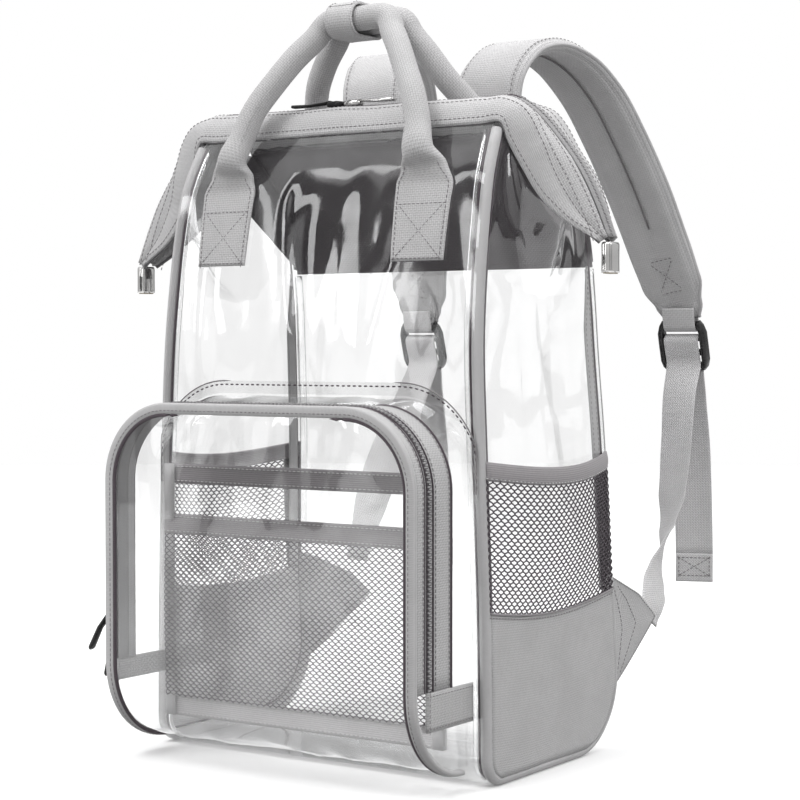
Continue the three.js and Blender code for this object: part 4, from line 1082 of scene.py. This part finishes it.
# Shoulder straps
STRAP_OUT, STRAP_WIDTH, STRAP_THICK, WEB_WIDTH = 46, 49, 11, 27
BUCKLE_TILT = 0.28
STRAP = [
    (0, None, 322, 1, 0.3), (0, None, 338, 1, 0.35), (0, 64, 360, 1, 0.9), (0, 57, 392, 1, 1),
    (0, 52, 420, 1, 1),
    (2, 55, 444, 1, 1), (7, 70, 461, 1, 1), (14, 92, 466, 1, 1), (22, 118, 458, 1, 1), (31, 140, 438, 1, 1),
    (39, 158, 410, 1, 1), (48, 176, 374, 1, 1), (56, 192, 336, 0.98, 0.95), (62, 202, 309, 0.94, 0.75),
    (65, 208, 294, 0.72, 0.45), (66, 212, 284, 0.56, 0.3),
]
WEB = {
    "right": [(66, 207, 230, -6), (65, 204, 192, -12), (63, 202, 160, -20), (62, 198, 138, -42),
              (63, 187, 119, -68),
              (67, 170, 102, -84), (71, 158, 92, -90), (73, 150, 84, -90), (73.4, 145, 76, -90)],
    "left": [(66, 202, 232, -8), (65, 180, 206, -20), (65, 160, 178, -38),
             (67, 146, 150, -60), (70, 138, 124, -80),
             (73, 134, 104, -90)],
}
TAIL = [(65.5, 223, 225, 8), (65, 230, 190, 14), (64.5, 234, 150, 18), (64, 237, 112, 20)]
TAB = [(0, 2, 0), (0.48, 69, 37), (0.54, 69, 39), (0.74, 44, 56), (1, 2, 72)]
HUB = Vector((STRAP_OUT + 66, 214, 265))


def on_buckle(out, up, x=0.0):
    y = out * math.cos(BUCKLE_TILT) - up * math.sin(BUCKLE_TILT)
    z = out * math.sin(BUCKLE_TILT) + up * math.cos(BUCKLE_TILT)
    return HUB + Vector((x, y, z))


def ribbon(places, width, thick):
    """Stations of a ribbon through (place, turn of its width in degrees)."""
    fine = refined([p for p, _ in places], [(turn,) for _, turn in places], 6)
    out = []
    last = len(fine) - 1
    for i, (place, (turn,)) in enumerate(fine):
        tangent = (fine[min(i + 1, last)][0] - fine[max(i - 1, 0)][0]).normalized()
        angle = math.radians(turn)
        across = Vector((math.cos(angle), math.sin(angle), 0))
        across = (across - tangent * tangent.dot(across)).normalized()
        out.append((place, across, across.cross(tangent), width, thick, 0.06))
    return out


def flipped(stations, side):
    return [(flip(p, side), flip(a, side), flip(o, side), *rest) for p, a, o, *rest in stations]


def strap_body(name, side):
    sewn = 1.05 + 16 * 0.13
    points, values = [], []
    for x, y, z, wide, thick in STRAP:
        if y is None:
            y = back(z) + sewn + STRAP_THICK * thick / 2 * leaning(back, z)
        points.append(Vector((STRAP_OUT + x, y, z)))
        values.append((STRAP_WIDTH * wide, STRAP_THICK * thick))
    line = refined(points, values, 6)
    turned = frames([p for p, _ in line], RIGHTWARD)
    count, sides = len(line), 40
    shape = []
    for (place, (wide, thick)), (_, across, out) in zip(line, turned):
        ring = []
        for k in range(sides):
            turn = 2 * math.pi * k / sides
            c, s = math.cos(turn), math.sin(turn)
            a = math.copysign(abs(c) ** 0.42, c)
            b = math.copysign(abs(s) ** 0.75, s)
            welt = 1 - 0.28 * math.exp(-((abs(a) - 0.86) / 0.05) ** 2)
            wrinkle = 1 + 0.05 * soft(place + across * a * 20, 0.06, 12)
            if k > sides // 2:
                welt *= 1 - 0.55 * math.exp(-(a / 0.09) ** 2)
            thin = 0.86 if abs(a) > 0.9 else 1
            ring.append(Vector((a * wide / 2, b * thick / 2 * welt * wrinkle * thin, 0)))
        shape.append((place, across, out, ring))
    vertices, uvs = [], []
    run = 0.0
    for i, (place, across, out, ring) in enumerate(shape):
        if i:
            run += (place - shape[i - 1][0]).length
        for q in ring:
            p = place + across * q.x + out * q.y
            vertices.append((side * p.x, p.y, p.z))
            uvs.append((q.x, run))
    outer, inner = [], []
    for i in range(count - 1):
        for k in range(sides):
            n = (k + 1) % sides
            face = (i * sides + k, i * sides + n, (i + 1) * sides + n, (i + 1) * sides + k)
            if side < 0:
                face = tuple(reversed(face))
            (outer if k < sides // 2 else inner).append(face)
    caps = [tuple(range(sides - 1, -1, -1)), tuple((count - 1) * sides + k for k in range(sides))]
    piece = finish_piece(f"shoulder_strap_{name}_pad", vertices, outer + inner + caps, "strap_fabric",
                         [f"shoulder_strap_{name}"], uvs)
    piece.data.materials.append(MATERIALS["strap_lining"])
    for index in range(len(outer), len(outer) + len(inner)):
        piece.data.polygons[index].material_index = 1
    lines = []
    for edge, where in ((-1, "inner"), (1, "outer")):
        row, ways, rim = [], [], []
        for (place, across, out, _), (_, (wide, thick)) in zip(shape, line):
            row.append(flip(place + across * edge * (wide / 2 - 4.6) + out * thick * 0.5 * 0.86, side))
            ways.append(flip(out, side))
            rim.append(flip(place + across * edge * (wide / 2 - 0.4), side))
        lines.append((row[6:], ways[6:]))
        tube(f"shoulder_strap_{name}_welt_{where}", rim, 1.5, "piping_fabric", [], 10)
    middle = []
    for (place, _, out, _), (_, (_, thick)) in zip(shape, line):
        middle.append((flip(place - out * thick * 0.5, side), flip(-out, side)))
    tube(f"shoulder_strap_{name}_seam", [p + w * -1.6 for p, w in middle[12:-20]], 0.7, "dark_thread", [], 8)
    box = []
    for a, i in ((-10, -17), (10, -17), (10, -11), (-10, -11), (-10, -17)):
        place, across, out, _ = shape[i]
        box.append(flip(place + across * a - out * line[i][1][1] * 0.42, side))
    lines += crossed(box, middle[-18][1])
    stitches(f"shoulder_strap_{name}_stitches", lines, "dark_thread", 3.6, 2.4, 0.32, 0.1)


def buckle(name, side):
    """A flat ladder buckle: two rails and bars, with rounded edges."""
    wide, high = 18, 17

    def bar(up, size):
        points = [flip(on_buckle(0, up, x), side) for x in np.linspace(3 - wide, wide - 3, 5)]
        line = frames(points, Vector((0, -math.sin(BUCKLE_TILT), math.cos(BUCKLE_TILT))))
        return [(p, a, o, size, 4.6, 0.45) for p, a, o in line]

    for number, (up, size) in enumerate(((high - 2.4, 5.4), (5.3, 4.6), (-5.3, 4.6), (-high + 2.2, 4.6))):
        loft(f"strap_buckle_{name}_bar_{number}", bar(up, size), "black_plastic", [f"strap_buckle_{name}"], 16)
    rows = [(high, wide - 5.4), (high - 3, wide - 3.4), (high - 8, wide - 1.9), (0, wide - 1.9),
            (-high + 6, wide - 1.9), (-high + 2, wide - 3), (-high, wide - 4.8)]
    for edge, where in ((-1, "inner"), (1, "outer")):
        line = frames([flip(on_buckle(0, up, edge * x), side) for up, x in rows], RIGHTWARD)
        rail = [(*turned, 4.4, 6.0 + 3.0 * math.sin(math.pi * i / 6), 0.5) for i, turned in enumerate(line)]
        loft(f"strap_buckle_{name}_rail_{where}", rail, "black_plastic", [f"strap_buckle_{name}"], 16)


def on_strap(rows):
    return [(Vector((STRAP_OUT + x, y, z)), turn) for x, y, z, turn in rows]


def sewn_ribbon(name, places, width, thick, look, node, side):
    stations = flipped(ribbon(places, width, thick), side)
    loft(name, stations, look, [node], 16)
    return stations


def webbing_tail(name, side):
    """The loose end below the buckle, folded at its foot and stitched across the fold."""
    node = f"webbing_tail_{name}"
    tail = [(on_buckle(0, -17.6), 0)] + on_strap(TAIL)
    sewn_ribbon(f"{node}_band", tail, WEB_WIDTH, 1.5, "webbing", node, side)
    x, y, z, turn = TAIL[-1]
    end = on_strap([(x, y, z + 1, turn), (x, y, z - 9, turn), (x, y, z - 19.5, turn)])
    place, across, out, *_ = sewn_ribbon(f"{node}_fold", end, WEB_WIDTH, 4.6, "webbing", node, side)[0]
    marks = []
    for level in (-1, 1):
        ring = []
        for a, b in ((-11, -3), (11, -3), (11, -16), (-11, -16), (-11, -3)):
            ring.append(place + across * a + Vector((0, 0, b)) + out * level * 2.4)
        marks += crossed(ring, out * level)
    stitches(f"{node}_stitches", marks, "dark_thread", 3.0, 2.1, 0.3, 0.1)


def strap_tab(name, side):
    """The cloth tab that joins the webbing to the foot of the body's rear edge."""
    shared, reaches, rises = zip(*TAB)
    rows = []
    for share in shares(30):
        z = mix(TAB_FOOT, TAB_TOP, share)
        start = Vector((half(z) - PIPING, back_edge(z, 0) + 0.9, z))
        reach, rise = [float(np.interp(share, shared, column)) for column in (reaches, rises)]
        end = Vector((start.x - reach * 0.06, start.y + reach, TAB_FOOT + rise))
        rows.append([start.lerp(end, t) for t in shares(16)])
    rows = mirrored(rows, side)
    sheet(f"strap_tab_{name}_cloth", rows, "grey_fabric", [f"strap_tab_{name}"], 2.6, (side * 600, 100, 80))
    out = Vector((side, 0, 0))
    lines = [inner_line(rows, "right", 2.4, out)]
    for column in (3, 8):
        lines.append(([row[column] for row in rows[3:-3]], out))
    stitches(f"strap_tab_{name}_stitches", lines, "dark_thread", 3.2, 2.2, 0.3, 0.15)


def strap_pieces():
    web_start = [(on_buckle(*place), 0) for place in ((0.5, 7.6), (-3.4, 5.4), (-3.9, -3), (-3.75, -13))]
    loop = [(on_buckle(*place), 0) for place in (
        (-2.2, 28), (-3.5, 19), (-3.3, 13), (0, 10.6), (3.3, 13), (3.2, 19), (2.4, 26),
    )]
    for name, side in SIDES:
        strap_body(name, side)
        buckle(name, side)
        node = f"shoulder_strap_{name}"
        sewn_ribbon(f"{node}_loop", loop, 25, 1.5, "strap_lining", node, side)
        node = f"strap_webbing_{name}"
        sewn_ribbon(f"{node}_band", web_start + on_strap(WEB[name]), WEB_WIDTH, 1.5, "webbing", node, side)
        webbing_tail(name, side)
        strap_tab(name, side)


# Front pocket
POCKET_HALF, POCKET_TOP, POCKET_CORNER, POCKET_FOOT, POCKET_CURVE = 118.5, 229, 50, 11, 52
POCKET_FACE = front(BODY_HEIGHT * 0.3) - 60
# Depths behind the pocket's face where its zip's front tape, teeth and rear tape begin.
TAPE_DEPTH = 2.1
TEETH_DEPTH = TAPE_DEPTH + 6.8
REAR_DEPTH = TEETH_DEPTH + 9.8
# The zip's arch stands on the stop tabs at this height.
ARCH_FOOT = 64


def arch(inset, foot, straight=12, bends=18):
    """The pocket's arch seen from the front: (x, z, outward x, outward z) from the left foot to the right."""
    radius = POCKET_CORNER - inset
    cx, cz = POCKET_HALF - POCKET_CORNER, POCKET_TOP - POCKET_CORNER
    right = [(POCKET_HALF - inset, mix(foot, cz, v), 1, 0) for v in shares(straight)]
    for v in shares(bends)[1:]:
        nx, nz = math.cos(QUARTER * v), math.sin(QUARTER * v)
        right.append((cx + radius * nx, cz + radius * nz, nx, nz))
    for v in shares(12)[1:]:
        right.append((mix(cx, 0, v), POCKET_TOP - inset, 0, 1))
    left = [(-x, z, -nx, nz) for x, z, nx, nz in right[:-1]]
    return left + right[::-1]


def narrower(nx, depth):
    """A depth on the rear tape, which is partly tucked in on the left, where the pull tabs hang."""
    return depth - 12 * max(0.0, -nx) if depth > 24 else depth


def strip_rows(inset, near, far, rows=6, ripple=0.0, seed=0):
    """A strip of the pocket's side from its near to its far depth, or to the front panel if far is None."""
    out = []
    for v in shares(rows):
        line = []
        for x, z, nx, nz in arch(inset, ARCH_FOOT):
            end = front(z) - 0.6 if far is None else POCKET_FACE + narrower(nx, far)
            y = mix(POCKET_FACE + narrower(nx, near), end, v)
            push = ripple * soft((x, y, z), 0.04, seed) + (5.0 * v ** 1.5 if far is None else 0)
            line.append(Vector((x + nx * push, y, z + nz * push)))
        out.append(line)
    return out


def pocket_curve(v):
    """Depth and height on the pocket's rounded foot."""
    turn = QUARTER * v
    return POCKET_FACE + POCKET_CURVE * (1 - math.sin(turn)), POCKET_FOOT + POCKET_CURVE * (1 - math.cos(turn))


def pocket_front():
    inset = 5.2
    cz = POCKET_TOP - POCKET_CORNER

    def sideways(u, z):
        rise = max(z - cz, 0)
        reach = math.sqrt(max((POCKET_CORNER - inset) ** 2 - rise ** 2, 0))
        return mix(-1, 1, u) * (POCKET_HALF - POCKET_CORNER + reach)

    def bow(u, z):
        return 4 * math.sin(math.pi * u) * math.sin(math.pi * z / POCKET_TOP)

    rows = []
    for v in shares(14):
        y, z = pocket_curve(v)
        rows.append([Vector((sideways(u, z), y - bow(u, z) * v, z)) for u in shares(48)])
    for v in shares(44)[1:]:
        z = mix(63, POCKET_TOP - inset - 0.6, 1 - (1 - v) ** 1.35)
        rows.append([Vector((sideways(u, z), POCKET_FACE - bow(u, z), z)) for u in shares(48)])
    rows = crumple(rows, 2.4, 0.02, 9, 0.08)
    sheet("pocket_face_clear", rows, "face_vinyl", ["pocket_face"])
    line = [Vector((3.5 - POCKET_HALF, *pocket_curve(v))) for v in shares(16)]
    line += [Vector((x, POCKET_FACE, z)) for x, z, _, _ in arch(3.5, POCKET_FOOT + POCKET_CURVE + 2)]
    line += [Vector((POCKET_HALF - 3.5, *pocket_curve(v))) for v in reversed(shares(16))]
    stations, marks, dark = [], [], []
    last = len(line) - 1
    for i, place in enumerate(line):
        tangent = (line[min(i + 1, last)] - line[max(i - 1, 0)]).normalized()
        across = Vector((-1 if place.x < 0 else 1, 0, 0))
        if place.z > cz:
            across = Vector((-tangent.z, 0, tangent.x))
        across.normalize()
        out = across.cross(tangent).normalized()
        if out.y > 0:
            out = -out
        stations.append((place, across, out, 7.2, 3.6, 0.55))
        marks.append((place + across * -1.2 + out * 1.9, out))
        dark.append(place - across * 4.0 + out * 0.5)
    loft("pocket_binding_cord", stations, "piping_fabric", ["pocket_binding"], 16)
    stitches("pocket_binding_stitches", [tuple(zip(*marks))], "dark_thread", 3.2, 2.2, 0.28, 0.0)
    tube("pocket_binding_line", dark, 1.25, "dark_edge", ["pocket_binding"], 8)


def pocket_zip():
    above = (0, POCKET_FACE + 20, 2000)
    tape = strip_rows(0.4, TAPE_DEPTH - 1, TAPE_DEPTH + 6.5, 4)
    sheet("pocket_zip_front_tape_cloth", tape, "grey_fabric", ["pocket_zip_front_tape"], 1.6, above)
    under = strip_rows(0.9, TEETH_DEPTH - 0.6, TEETH_DEPTH + 10, 4)
    sheet("pocket_zip_teeth_tape", under, "tape", ["pocket_zip_teeth"], 1.2, above)
    for depth in (0.2, 3.0, 6.5, 9.3):
        y = POCKET_FACE + TEETH_DEPTH + depth
        points = [Vector((x, y, z)) for x, z, _, _ in arch(0.5, ARCH_FOOT + 0.5)]
        tube(f"pocket_zip_line_{int(depth * 10)}", points, 0.55, "dark_edge", ["pocket_zip_teeth"], 6)
    coil = []
    path = arch(0.2, ARCH_FOOT + 1)
    line = [Vector((x, POCKET_FACE + TEETH_DEPTH + 4.75, z)) for x, z, _, _ in path]
    for k, (place, along) in enumerate(resample(line, 1.4)):
        out = BACKWARD.cross(along).normalized()
        if out.dot(place - Vector((0, place.y, 100))) < 0:
            out = -out
        side = 1 if k % 2 else -1
        middle = place + out * 0.3 + Vector((0, side * 0.6, 0))
        coil.append((middle, along * 0.5, out * 0.55, Vector((0, 1.5, 0))))
    boxes("pocket_zip_coil", coil, "teeth", ["pocket_zip_teeth"])
    rear = strip_rows(0.4, REAR_DEPTH, REAR_DEPTH + 18)
    sheet("pocket_zip_rear_tape_cloth", rear, "grey_fabric", ["pocket_zip_rear_tape"], 1.6, above)
    lines = []
    for depth in (TAPE_DEPTH + 5.2, REAR_DEPTH + 1.6, REAR_DEPTH + 16.2):
        points = [Vector((x, POCKET_FACE + narrower(nx, depth), z)) for x, z, nx, _ in path]
        lines.append((points, [Vector((nx, 0, nz)) for _, _, nx, nz in path]))
    stitches("pocket_tape_stitches", lines, "dark_thread", 3.2, 2.2, 0.28, 0.15)
    end = REAR_DEPTH + 18.6
    welt = [Vector((x, POCKET_FACE + narrower(nx, end), z)) for x, z, nx, _ in arch(0.6, ARCH_FOOT)]
    tube("pocket_tape_welt", welt, 1.1, "dark_edge", ["pocket_zip_rear_tape"], 8)
    gusset = strip_rows(1.4, REAR_DEPTH + 18, None, 8, 1.2, 3)
    sheet("pocket_gusset_clear", gusset, "vinyl", ["pocket_gusset"])


def pocket_flange():
    """The clear rim that sews the pocket to the front panel, and the seam at the pocket's foot."""
    limit = half(POCKET_TOP) - 2
    near, far = [], []
    for x, z, nx, nz in arch(0, 176):
        for line, out, up in ((near, 4.5, 5), (far, 9, 13)):
            x1, z1 = x + nx * out, z + nz * up
            line.append(Vector((min(max(x1, -limit), limit), front(z1) - 1.1, z1)))
    rows = [[a.lerp(b, v) for a, b in zip(near, far)] for v in shares(4)]
    sheet("pocket_flange_clear", rows, "seam_vinyl", ["pocket_flange"])
    y, z = POCKET_FACE + POCKET_CURVE + 1.2, POCKET_FOOT - 0.2
    foot = [Vector((x, y, z)) for x in np.linspace(-117, 117, 30)]
    tube("pocket_foot_seam", foot, 2.2, "seam_vinyl", ["pocket_face"], 10)
    tube("pocket_foot_line", [p + Vector((0, -2.0, 1.2)) for p in foot], 0.6, "dark_edge", ["pocket_face"], 6)
    edge = [p + Vector((0, -0.6, 0)) for p in far]
    tube("pocket_flange_edge", edge, 0.45, "dark_thread", ["pocket_flange"], 6)
    marks = [a.lerp(b, 0.7) for a, b in zip(near, far)]
    stitches("pocket_flange_stitches", [(marks, FORWARD)], "dark_edge", 4.2, 2.6, 0.5, 0.2)


def pocket_ends():
    """The clear lower sides of the pocket and the cloth tabs that stop its zip."""
    for name, side in SIDES:
        rows = []
        for v in shares(14):
            z = mix(POCKET_FOOT + 3.4, ARCH_FOOT - 0.3, v)
            rise = max(POCKET_FOOT + POCKET_CURVE - z, 0)
            near = POCKET_FACE + POCKET_CURVE - math.sqrt(max((POCKET_CURVE - 2.4) ** 2 - rise ** 2, 0))
            near = min(near, front(z) - 1.3)
            x = side * (POCKET_HALF - 1.2)
            rows.append([Vector((x, mix(near, front(z) - 0.4, u), z)) for u in shares(14)])
        sheet(f"pocket_side_{name}_clear", crumple(rows, 1.2, 0.04, 14), "vinyl", [f"pocket_side_{name}"])
        node = f"pocket_stop_tab_{name}"
        x, low = side * (POCKET_HALF + 1.1), 50 if side < 0 else 41
        near, far = POCKET_FACE + 10.5, front(ARCH_FOOT) - 0.6
        rows = grid(6, 14, lambda u, v: Vector((x, mix(near, far, u), mix(low, ARCH_FOOT, v))))
        sheet(f"{node}_cloth", rows, "grey_fabric", [node], 1.8, (side * 600, -100, 60))
        marks = [inner_line(rows, edge, 2.0, Vector((side, 0, 0))) for edge in ("top", "foot", "left")]
        stitches(f"{node}_stitches", marks, "dark_thread", 3.2, 2.2, 0.28, 0.15)


def pocket_pulls():
    body = [(0, 0, 5.4, 4, 2.4), (0, 0, 4.4, 7.5, 3.8), (-0.4, 0, 0, 6.6, 4.6), (0, 0, -4, 7.5, 3.6),
            (-0.6, 0, -5.4, 5, 2.4)]
    x, y = -POCKET_HALF - 2.6, POCKET_FACE + TEETH_DEPTH + 4.75
    for name, z, splay in (("upper", 104, 21), ("lower", 88, 7)):
        node = f"pocket_zip_pull_{name}"
        grip = [(-1.6, 0, -3, 3.6, 1.8), (-2.4, 0, -7, 5.2, 2.2), (-splay * 0.65, -2, -21.6, 5, 2.4),
                (-splay * 0.95, -3, -34.5, 5.6, 2.6), (-splay, -3, -36, 3.6, 1.8)]
        for part, rows, roundness in (("body", body, 0.3), ("grip", grip, 0.5)):
            places = [((x + a, y + b, z + c), wide, thick) for a, b, c, wide, thick in rows]
            bead(f"{node}_{part}", places, "black_plastic", [node], roundness)


def organiser():
    """A clear pouch and a net pouch on the front panel, which end before the panel does on the right."""
    left, right = -POCKET_HALF, 100
    foot, net_foot, net_end, band_end, pouch_end, top = 21, 34, 141, 154, 174, 187

    def layer(low, high, off, rows=3, wave=0.0, seed=0):
        def point(u, v):
            z = mix(low, high, v)
            push = wave * (0.5 + 0.5 * soft((u * 230, 0, v * 60), 0.03, seed))
            return Vector((mix(left, right, u), front(z) - off - push, z))

        return grid(rows, 50, point)

    ahead = (0, -900, 100)
    sheet("organiser_pocket_clear", layer(net_foot, pouch_end, 1.0, 30, 1.4, 2), "vinyl", ["organiser_pocket"])
    top_band = layer(pouch_end, top, 0.6, 6, 1.2, 5)
    sheet("organiser_top_band_cloth", top_band, "elastic", ["organiser_top_band"], 1.6, ahead)
    net_band = layer(net_end, band_end, 2.6, 6, 2.0, 6)
    sheet("organiser_net_band_cloth", net_band, "elastic", ["organiser_net_band"], 1.6, ahead)
    hem = layer(foot, net_foot + 0.5, 1.6, 5)
    sheet("organiser_hem_cloth", hem, "hem_elastic", ["organiser_hem"], 2.0, ahead)
    lines = []
    for rows in (top_band, net_band, hem):
        lines += [inner_line(rows, edge, 1.8, FORWARD) for edge in ("top", "foot")]
    stitches("organiser_stitches", lines, "thread", 3.4, 2.2, 0.3, 0.2)

    def netting(u, v):
        z = mix(net_foot, net_end, v)
        return Vector((mix(-118, 99.5, u), front(z) - 3.2 - 1.2 * math.sin(math.pi * v), z))

    lens_net("organiser_net_mesh", netting, 217, 107, 5.0, 3.9, 0.48, "net", ["organiser_net"], 6)
    for name, x in (("left", left), ("right", right - 8)):
        rows = grid(20, 2, lambda u, v: Vector((x + 8 * u, front(mix(foot, top, v)) - 3.4, mix(foot, top, v))))
        sheet(f"organiser_edge_{name}", rows, "piping_fabric", ["organiser_pocket"], 1.0, ahead)


# Stage and light
def backdrop():
    count = 64
    vertices, faces = [(0, 0, 0)], []
    for radius in (1.2, 2.2, 3.2):
        for k in range(count):
            turn = 2 * math.pi * k / count
            vertices.append((radius * math.cos(turn), radius * math.sin(turn), -0.0005))
    for k in range(count):
        n = (k + 1) % count
        faces.append((0, 1 + k, 1 + n))
        for ring in range(2):
            a = 1 + ring * count
            faces.append((a + k, a + count + k, a + count + n, a + n))
    mesh = bpy.data.meshes.new("floor")
    mesh.from_pydata(vertices, [], faces)
    look = Look("floor", (0.93, 0.93, 0.93), 0.9, Specular_IOR_Level=0.1)
    look.set("Base Color", look.blend(look.noise(30.0), (0.965, 0.965, 0.965), (0.975, 0.975, 0.975)))
    mesh.materials.append(look.material)
    floor = bpy.data.objects.new("floor", mesh)
    bpy.context.scene.collection.objects.link(floor)
    floor.visible_diffuse = False
    floor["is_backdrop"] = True


def light(name, place, target, size, power, color=(1, 1, 1)):
    data = bpy.data.lights.new(name, "AREA")
    data.shape = "RECTANGLE"
    data.size, data.size_y = size
    data.energy = power
    data.color = color
    lamp = bpy.data.objects.new(name, data)
    bpy.context.scene.collection.objects.link(lamp)
    lamp.location = place
    lamp.rotation_euler = (Vector(target) - Vector(place)).to_track_quat("-Z", "Y").to_euler()


def lighting():
    """A bright studio whose walls have a few darker soft bands, which glossy surfaces pick up."""
    world = bpy.data.worlds.new("studio")
    bpy.context.scene.world = world
    world.use_nodes = True
    tree = world.node_tree

    def node(kind, inputs, **settings):
        return add_node(tree, kind, inputs, **settings)[0]

    place = add_node(tree, "ShaderNodeTexCoord")["Generated"]
    split = add_node(tree, "ShaderNodeSeparateXYZ", {0: place})
    turn = node("ShaderNodeMath", {0: split[0], 1: split[1]}, operation="ARCTAN2")
    wave = node("ShaderNodeMath", {0: turn, 1: 7.0}, operation="MULTIPLY")
    wave = node("ShaderNodeMath", {0: wave}, operation="SINE")
    edges = {0: wave, 1: 0.62, 2: 0.8, 3: 1.0, 4: 0.12}
    cards = node("ShaderNodeMapRange", edges, interpolation_type="SMOOTHSTEP")
    high = node("ShaderNodeMapRange", {0: split[2], 1: -0.2, 2: 0.7, 3: 0.5, 4: 1.35})
    studio = node("ShaderNodeMath", {0: cards, 1: high}, operation="MULTIPLY")
    seen = add_node(tree, "ShaderNodeLightPath")["Is Camera Ray"]
    strength = node("ShaderNodeMix", {0: seen, 2: studio, 3: 1.0}, data_type="FLOAT")
    tree.links.new(strength, tree.nodes["Background"].inputs["Strength"])
    tree.nodes["Background"].inputs["Color"].default_value = (1, 1, 1, 1)
    light("key", (-0.6, -1.5, 2.6), (0, 0, 0.25), (1.2, 1.0), 33)
    light("side", (2.2, -0.2, 1.5), (0, 0, 0.3), (0.8, 1.2), 16)
    light("top", (0.2, 0.5, 2.5), (0, 0, 0.2), (1.4, 1.2), 17)
    for number, (x, y, power) in enumerate(((-1.32, -1.22, 1.5), (-1.08, -1.5, 1.9), (-0.86, -1.72, 1.5))):
        light(f"strip_{number}", (x, y, 1.1), (0, -0.06, 0.36), (0.11, 1.3), power)
    bpy.context.scene.view_settings.view_transform = "Standard"


body_panels()
mouth_bands()
main_zip()
clips_and_sliders()
side_pieces()
handle("front_handle", -1, front)
handle("back_handle", 1, back)
handle_wrap()
strap_pieces()
pocket_front()
pocket_zip()
pocket_flange()
pocket_ends()
pocket_pulls()
organiser()
backdrop()
lighting()

boxes_found = {"cad": cad_box, "visual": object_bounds()}
{key: [[float(c) for c in p] for p in value] for key, value in boxes_found.items()}
